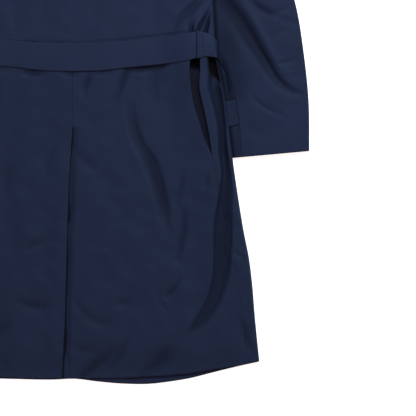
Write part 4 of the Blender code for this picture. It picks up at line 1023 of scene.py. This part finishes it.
# ------------------------------------------------------------------------------ sleeve straps
# A short doubled strap of the same cloth crosses the under sleeve above the cuff. It is edge
# stitched and caught in the hind seam.
# painted shade over the whole strap
STRAP_SHADE = 0.13
STRAP_TURN = 0.5      # how far its turned edges lie lower
STITCH_SPAN = (0.06, 0.94)    # of the stitches, down the strap and across it
STITCH_ACROSS = (0.66, 0.96)
STITCH_END = 0.965            # where the row down its end lies


def strap_row(share, down):
    """The row of the strap's face a share down it; its upper edge slants across the sleeve."""
    return mix(STRAP_ROWS[0] + STRAP_SLANT * (share - STRAP_START), STRAP_ROWS[1], down)


def strap_line(side, shares, down):
    """A line on the strap's face, by its shares across and down it."""
    shares, down = np.broadcast_arrays(np.array(shares, float), np.array(down, float))
    rows = strap_row(shares, down)
    line = sleeve_net(mix(fore(rows), hind(rows), shares), rows, LAY + CLOTH + STITCH_LIFT,
                      SLEEVE_FOLDS)
    return line * (side, 1, 1)


strap_shares = shares_of((STRAP_START, 0.8, 8), (0.8, 0.985, 16))
strap_rows = strap_row(strap_shares[:, None], np.linspace(0, 1, 26))
for side, hand in HANDS:
    points, grain, _ = sleeve_part(fore, hind, strap_shares, strap_rows, side, out=LAY + CLOTH)
    points[:, (0, -1), 2] -= STRAP_TURN
    strap = cloth("sleeve_strap_cloth_" + hand, points, navy, flip=side > 0, grain=grain,
                  painted_shade=np.full(points.shape[:2], STRAP_SHADE))
    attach(strap, "root")
    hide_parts("sleeve_strap_" + hand)
    lines = [strap_line(side, np.linspace(*STITCH_ACROSS, 24), down) for down in STITCH_SPAN]
    lines.append(strap_line(side, STITCH_END, np.linspace(*STITCH_SPAN, 16)))
    stitches = sew("strap_stitches_" + hand, lines)


# ------------------------------------------------------------------------------ collar
# A plain fall collar of doubled gabardine, sewn into the neck. It goes over the back neck, round
# both shoulders and on under the fronts, where the coat's own weight holds it flat.
COLLAR_DEPTH = 62.0
COLLAR_SPREAD = 0.42          # how much wider it is at its outer edge
COLLAR_ROLL = 7.0
COLLAR_LEAN = (0.38, 0.92)    # the way that its roll points at the shoulder
COLLAR_END_X = 34.0

steps = shares_of((0.0, 1.0, 26), (1.0, 2.0, 14), (2.0, 3.0, 12))
around, depth = np.meshgrid(np.append(-steps[:0:-1], steps), np.linspace(0, 1, 20), indexing="ij")
side, around = np.where(around >= 0, 1, -1), np.abs(around)
top = SHOULDER_HEIGHT + LAY + COLLAR_WALL
end_x = NECK_POINT[0] * (1 + COLLAR_SPREAD * depth)
end_y = shoulder_line(end_x) + 1.0
centre_y = NECK_Y + COLLAR_ROLL - depth * COLLAR_DEPTH
angle = np.clip(around - 1.0, 0, 1) * math.pi
bulge = COLLAR_ROLL * np.sin(angle)
run = np.clip(around - 2.0, 0, 1)
over, round_it = around <= 1.0, around < 2.0
x = np.where(over, around * end_x, np.where(round_it, end_x + COLLAR_LEAN[0] * bulge,
             mix(end_x, COLLAR_END_X * (1 + COLLAR_SPREAD * depth), run)))
y = np.where(over, mix(centre_y, end_y, around ** 2), np.where(round_it, end_y + COLLAR_LEAN[1] * bulge,
             mix(end_y, FRONT_NECK_Y - depth * COLLAR_DEPTH, run)))
z = np.where(over, top, np.where(round_it, top / 2 * (1 + np.cos(angle)), 0.0))
z = z + np.where(over, rumple(x * side, y, 5, 0.2), 0.0) * ease(around, 1.0, -0.1)
collar = cloth("collar_cloth", np.stack((side * x, y, z), -1), navy, wall=COLLAR_WALL, flip=True)
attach(collar, "root")
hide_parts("collar")


# ------------------------------------------------------------------------------ belt
# The belt is a doubled band of the coat's gabardine, edge stitched, that runs round the whole waist
# over the folds of the skirt. Its two ends meet behind the buckle's bar, under the coat.
BELT_WALL = 2.4
BELT_LIES_ABOVE = 6.0         # below this height the belt is on its way under the coat
STITCH_HEIGHTS = (-0.9, 0.9)  # of the two rows, as shares of the belt's half width
BELT_THREAD_LOW = 0.3         # no thread lies lower, so that it stays off the surface
# Rows across the belt, and how much lower its turned edges are there.
BELT_ROWS = {
    "columns": ("row", "lower"),
    "rows": (
        (-1.0, 0.9), (-0.985, 0.35), (-0.955, 0.05), (-0.91, 0), (-0.6, 0), (-0.3, 0), (0.0, 0),
        (0.3, 0), (0.6, 0), (0.91, 0), (0.955, 0.05), (0.985, 0.35), (1.0, 0.9),
    ),
}


def wear_belt(points, lying):
    """Gives the points where the belt lies on the coat a little unevenness."""
    points[..., 2] += rumple(points[..., 0], points[..., 1] * 0.3, 21, 0.3) * lying


belt_cloth = gabardine("navy_belt_gabardine", "#1E2943", "#1A233B", roughness=0.58)
belt_half = back_columns(shares_of((0.0, 0.9, 60), (0.9, 0.985, 8)))
belt_half += front_columns(np.linspace(0, 1, 10)) + edge_columns + under_columns(np.linspace(0, 1, 20))
belt_half += straight_columns("under", np.linspace(OVERLAP, 0.6, 12))
belt_rows, lower = np.array(BELT_ROWS["rows"]).T
left = ring(-1, belt_half[:0:-1], belt_rows, out=LAY + BELT_WALL)
right = ring(1, belt_half, belt_rows, out=LAY + BELT_WALL)
points = np.concatenate((left, right))
lying = points[:, len(belt_rows) // 2, 2:] > BELT_LIES_ABOVE
points[:, :, 2] -= lower * lying
wear_belt(points, lying)
belt = cloth("belt_band", points, belt_cloth, wall=BELT_WALL)
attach(belt, "root")
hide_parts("belt")

belt_lines = []
for side in (-1, 1):
    for height in STITCH_HEIGHTS:
        line = ring(side, belt_half, [height], out=LAY + BELT_WALL + STITCH_LIFT)[:, 0]
        wear_belt(line, line[:, 2] > BELT_LIES_ABOVE)
        line[:, 2] = np.maximum(line[:, 2], BELT_THREAD_LOW)
        belt_lines.append(line)
belt_stitches = sew("belt_stitches", belt_lines, pitch=3.4, length=2.6)


# ------------------------------------------------------------------------------ belt loops
# A narrow tape of turned gabardine crosses the belt at each side seam and is tacked to the cloth
# above and below it.
LOOP_X = (217.0, 228.0)
LOOP_END = 1.12               # how far it goes past the belt's middle, in half belt widths
LOOP_OUT = 2 * (LAY + BELT_WALL) - 0.6
LOOP_TURN = 0.7               # how far its turned edges lie lower
LOOP_ROUND = 0.35             # how far its middle lies higher
TACK_HEIGHTS = (-1.06, -1.02, 1.02, 1.06)
TACK_LIFT = 0.4
tape = straight_columns("top", np.linspace(*LOOP_X, 9))
tape_rows = np.linspace(-LOOP_END, LOOP_END, 26)
across = np.linspace(-1, 1, 9)[:, None]
tack_columns = straight_columns("top", np.linspace(LOOP_X[0] + 1, LOOP_X[1] - 1, 6))
tack_lines = []
for side, hand in HANDS:
    points = ring(side, tape, tape_rows, out=LOOP_OUT)
    points[:, :, 2] -= LOOP_TURN * across ** 6 - LOOP_ROUND * (1 - across ** 2)
    piece = cloth("belt_loop_cloth_" + hand, points, navy, flip=side < 0)
    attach(piece, "root")
    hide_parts("belt_loop_" + hand)
    tack_lines += [ring(side, tack_columns, [height], out=LOOP_OUT + TACK_LIFT)[:, 0]
                   for height in TACK_HEIGHTS]
sew("loop_stitches", tack_lines, pitch=1.6, length=1.5, width=0.5)


# ------------------------------------------------------------------------------ buckle
# The slide buckle is moulded urea plastic, satin and near black, with faint swirls from the mould and
# a middle bar that both belt ends turn round. It is the CAD part, with its own finish.
SWIRL_SIZE = 9.0
moulded, tree, shader = new_finish("moulded_urea_plastic", Roughness=0.35)
place = add_node(tree, "ShaderNodeTexCoord")
swirl = add_node(tree, "ShaderNodeTexNoise", Vector=place.outputs["Object"],
                 Scale=1 / (SWIRL_SIZE * MM), Detail=3.0, Distortion=1.2)
streaks = add_node(tree, "ShaderNodeMix", {"data_type": "RGBA"}, _0=swirl.outputs[0],
                   _6=linear("#15171D"), _7=linear("#262932"))
tree.links.new(streaks.outputs[2], shader.inputs["Base Color"])
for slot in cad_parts["buckle"].material_slots:
    slot.material = moulded


# ------------------------------------------------------------------------------ floor, light, view
# A white table, a wide soft lamp like a window, a weak warm one across from it, and pale walls. The
# camera hangs straight above and sees the lower right of the back, as in the photograph.
PIXEL = 1.75          # mm of the coat to a pixel of the photograph
PICTURE_WIDTH = 416   # pixels
VIEW_CENTRE = (237.1, -263.4)
CAMERA_HEIGHT = 5.0   # m, as the table and the lamps are
COAT_MIDDLE = 0.01    # the height at which the coat has its true scale
TABLE_REACH = 4.0
TABLE_Z = -0.0005
LAMP_AIM = (0.22, -0.15, 0.0)

turns = ((-1, -1), (1, -1), (1, 1), (-1, 1))
corners = [(x * TABLE_REACH, y * TABLE_REACH, TABLE_Z) for x, y in turns]
table_mesh = bpy.data.meshes.new("table")
table_mesh.from_pydata(corners, [], [(0, 1, 2, 3)])
table = put("table", table_mesh)
# matt paper that glows a little, so that it stays white round the coat
paper, _, _ = new_finish("white_paper", Base_Color=linear("#F7F7F7"), Roughness=0.9,
                         Specular_IOR_Level=0.1, Emission_Color=linear("#FFFFFF"),
                         Emission_Strength=0.75)
table_mesh.materials.append(paper)

for name, size, energy, tint, spot in (
    ("window_lamp", 1.1, 48.0, "#EEFBFF", (0.85, 1.22, 1.84)),
    ("wall_glow", 1.8, 10.0, "#FFA684", (-0.1, -1.5, 1.7)),
):
    lamp = bpy.data.lights.new(name, "AREA")
    lamp.shape = "SQUARE"
    lamp.size = size
    lamp.energy = energy
    lamp.color = linear(tint)[:3]
    holder = put(name, lamp)
    holder.location = spot
    aim = Vector(LAMP_AIM) - holder.location
    holder.rotation_euler = aim.to_track_quat("-Z", "Y").to_euler()

walls = bpy.data.worlds.new("pale_walls")
walls.use_nodes = True
walls.node_tree.nodes["Background"].inputs[0].default_value = linear("#F2F5FA")
walls.node_tree.nodes["Background"].inputs[1].default_value = 0.3
bpy.context.scene.world = walls
bpy.context.scene.view_settings.view_transform = "Standard"

lens = bpy.data.cameras.new("overhead")
lens.sensor_width = 36.0
lens.lens = lens.sensor_width * (CAMERA_HEIGHT - COAT_MIDDLE) / (PICTURE_WIDTH * PIXEL * MM)
lens.clip_end = 50.0
camera = put("overhead", lens)
camera.location = (VIEW_CENTRE[0] * MM, (VIEW_CENTRE[1] + WAIST_Y) * MM, CAMERA_HEIGHT)
bpy.context.scene.camera = camera
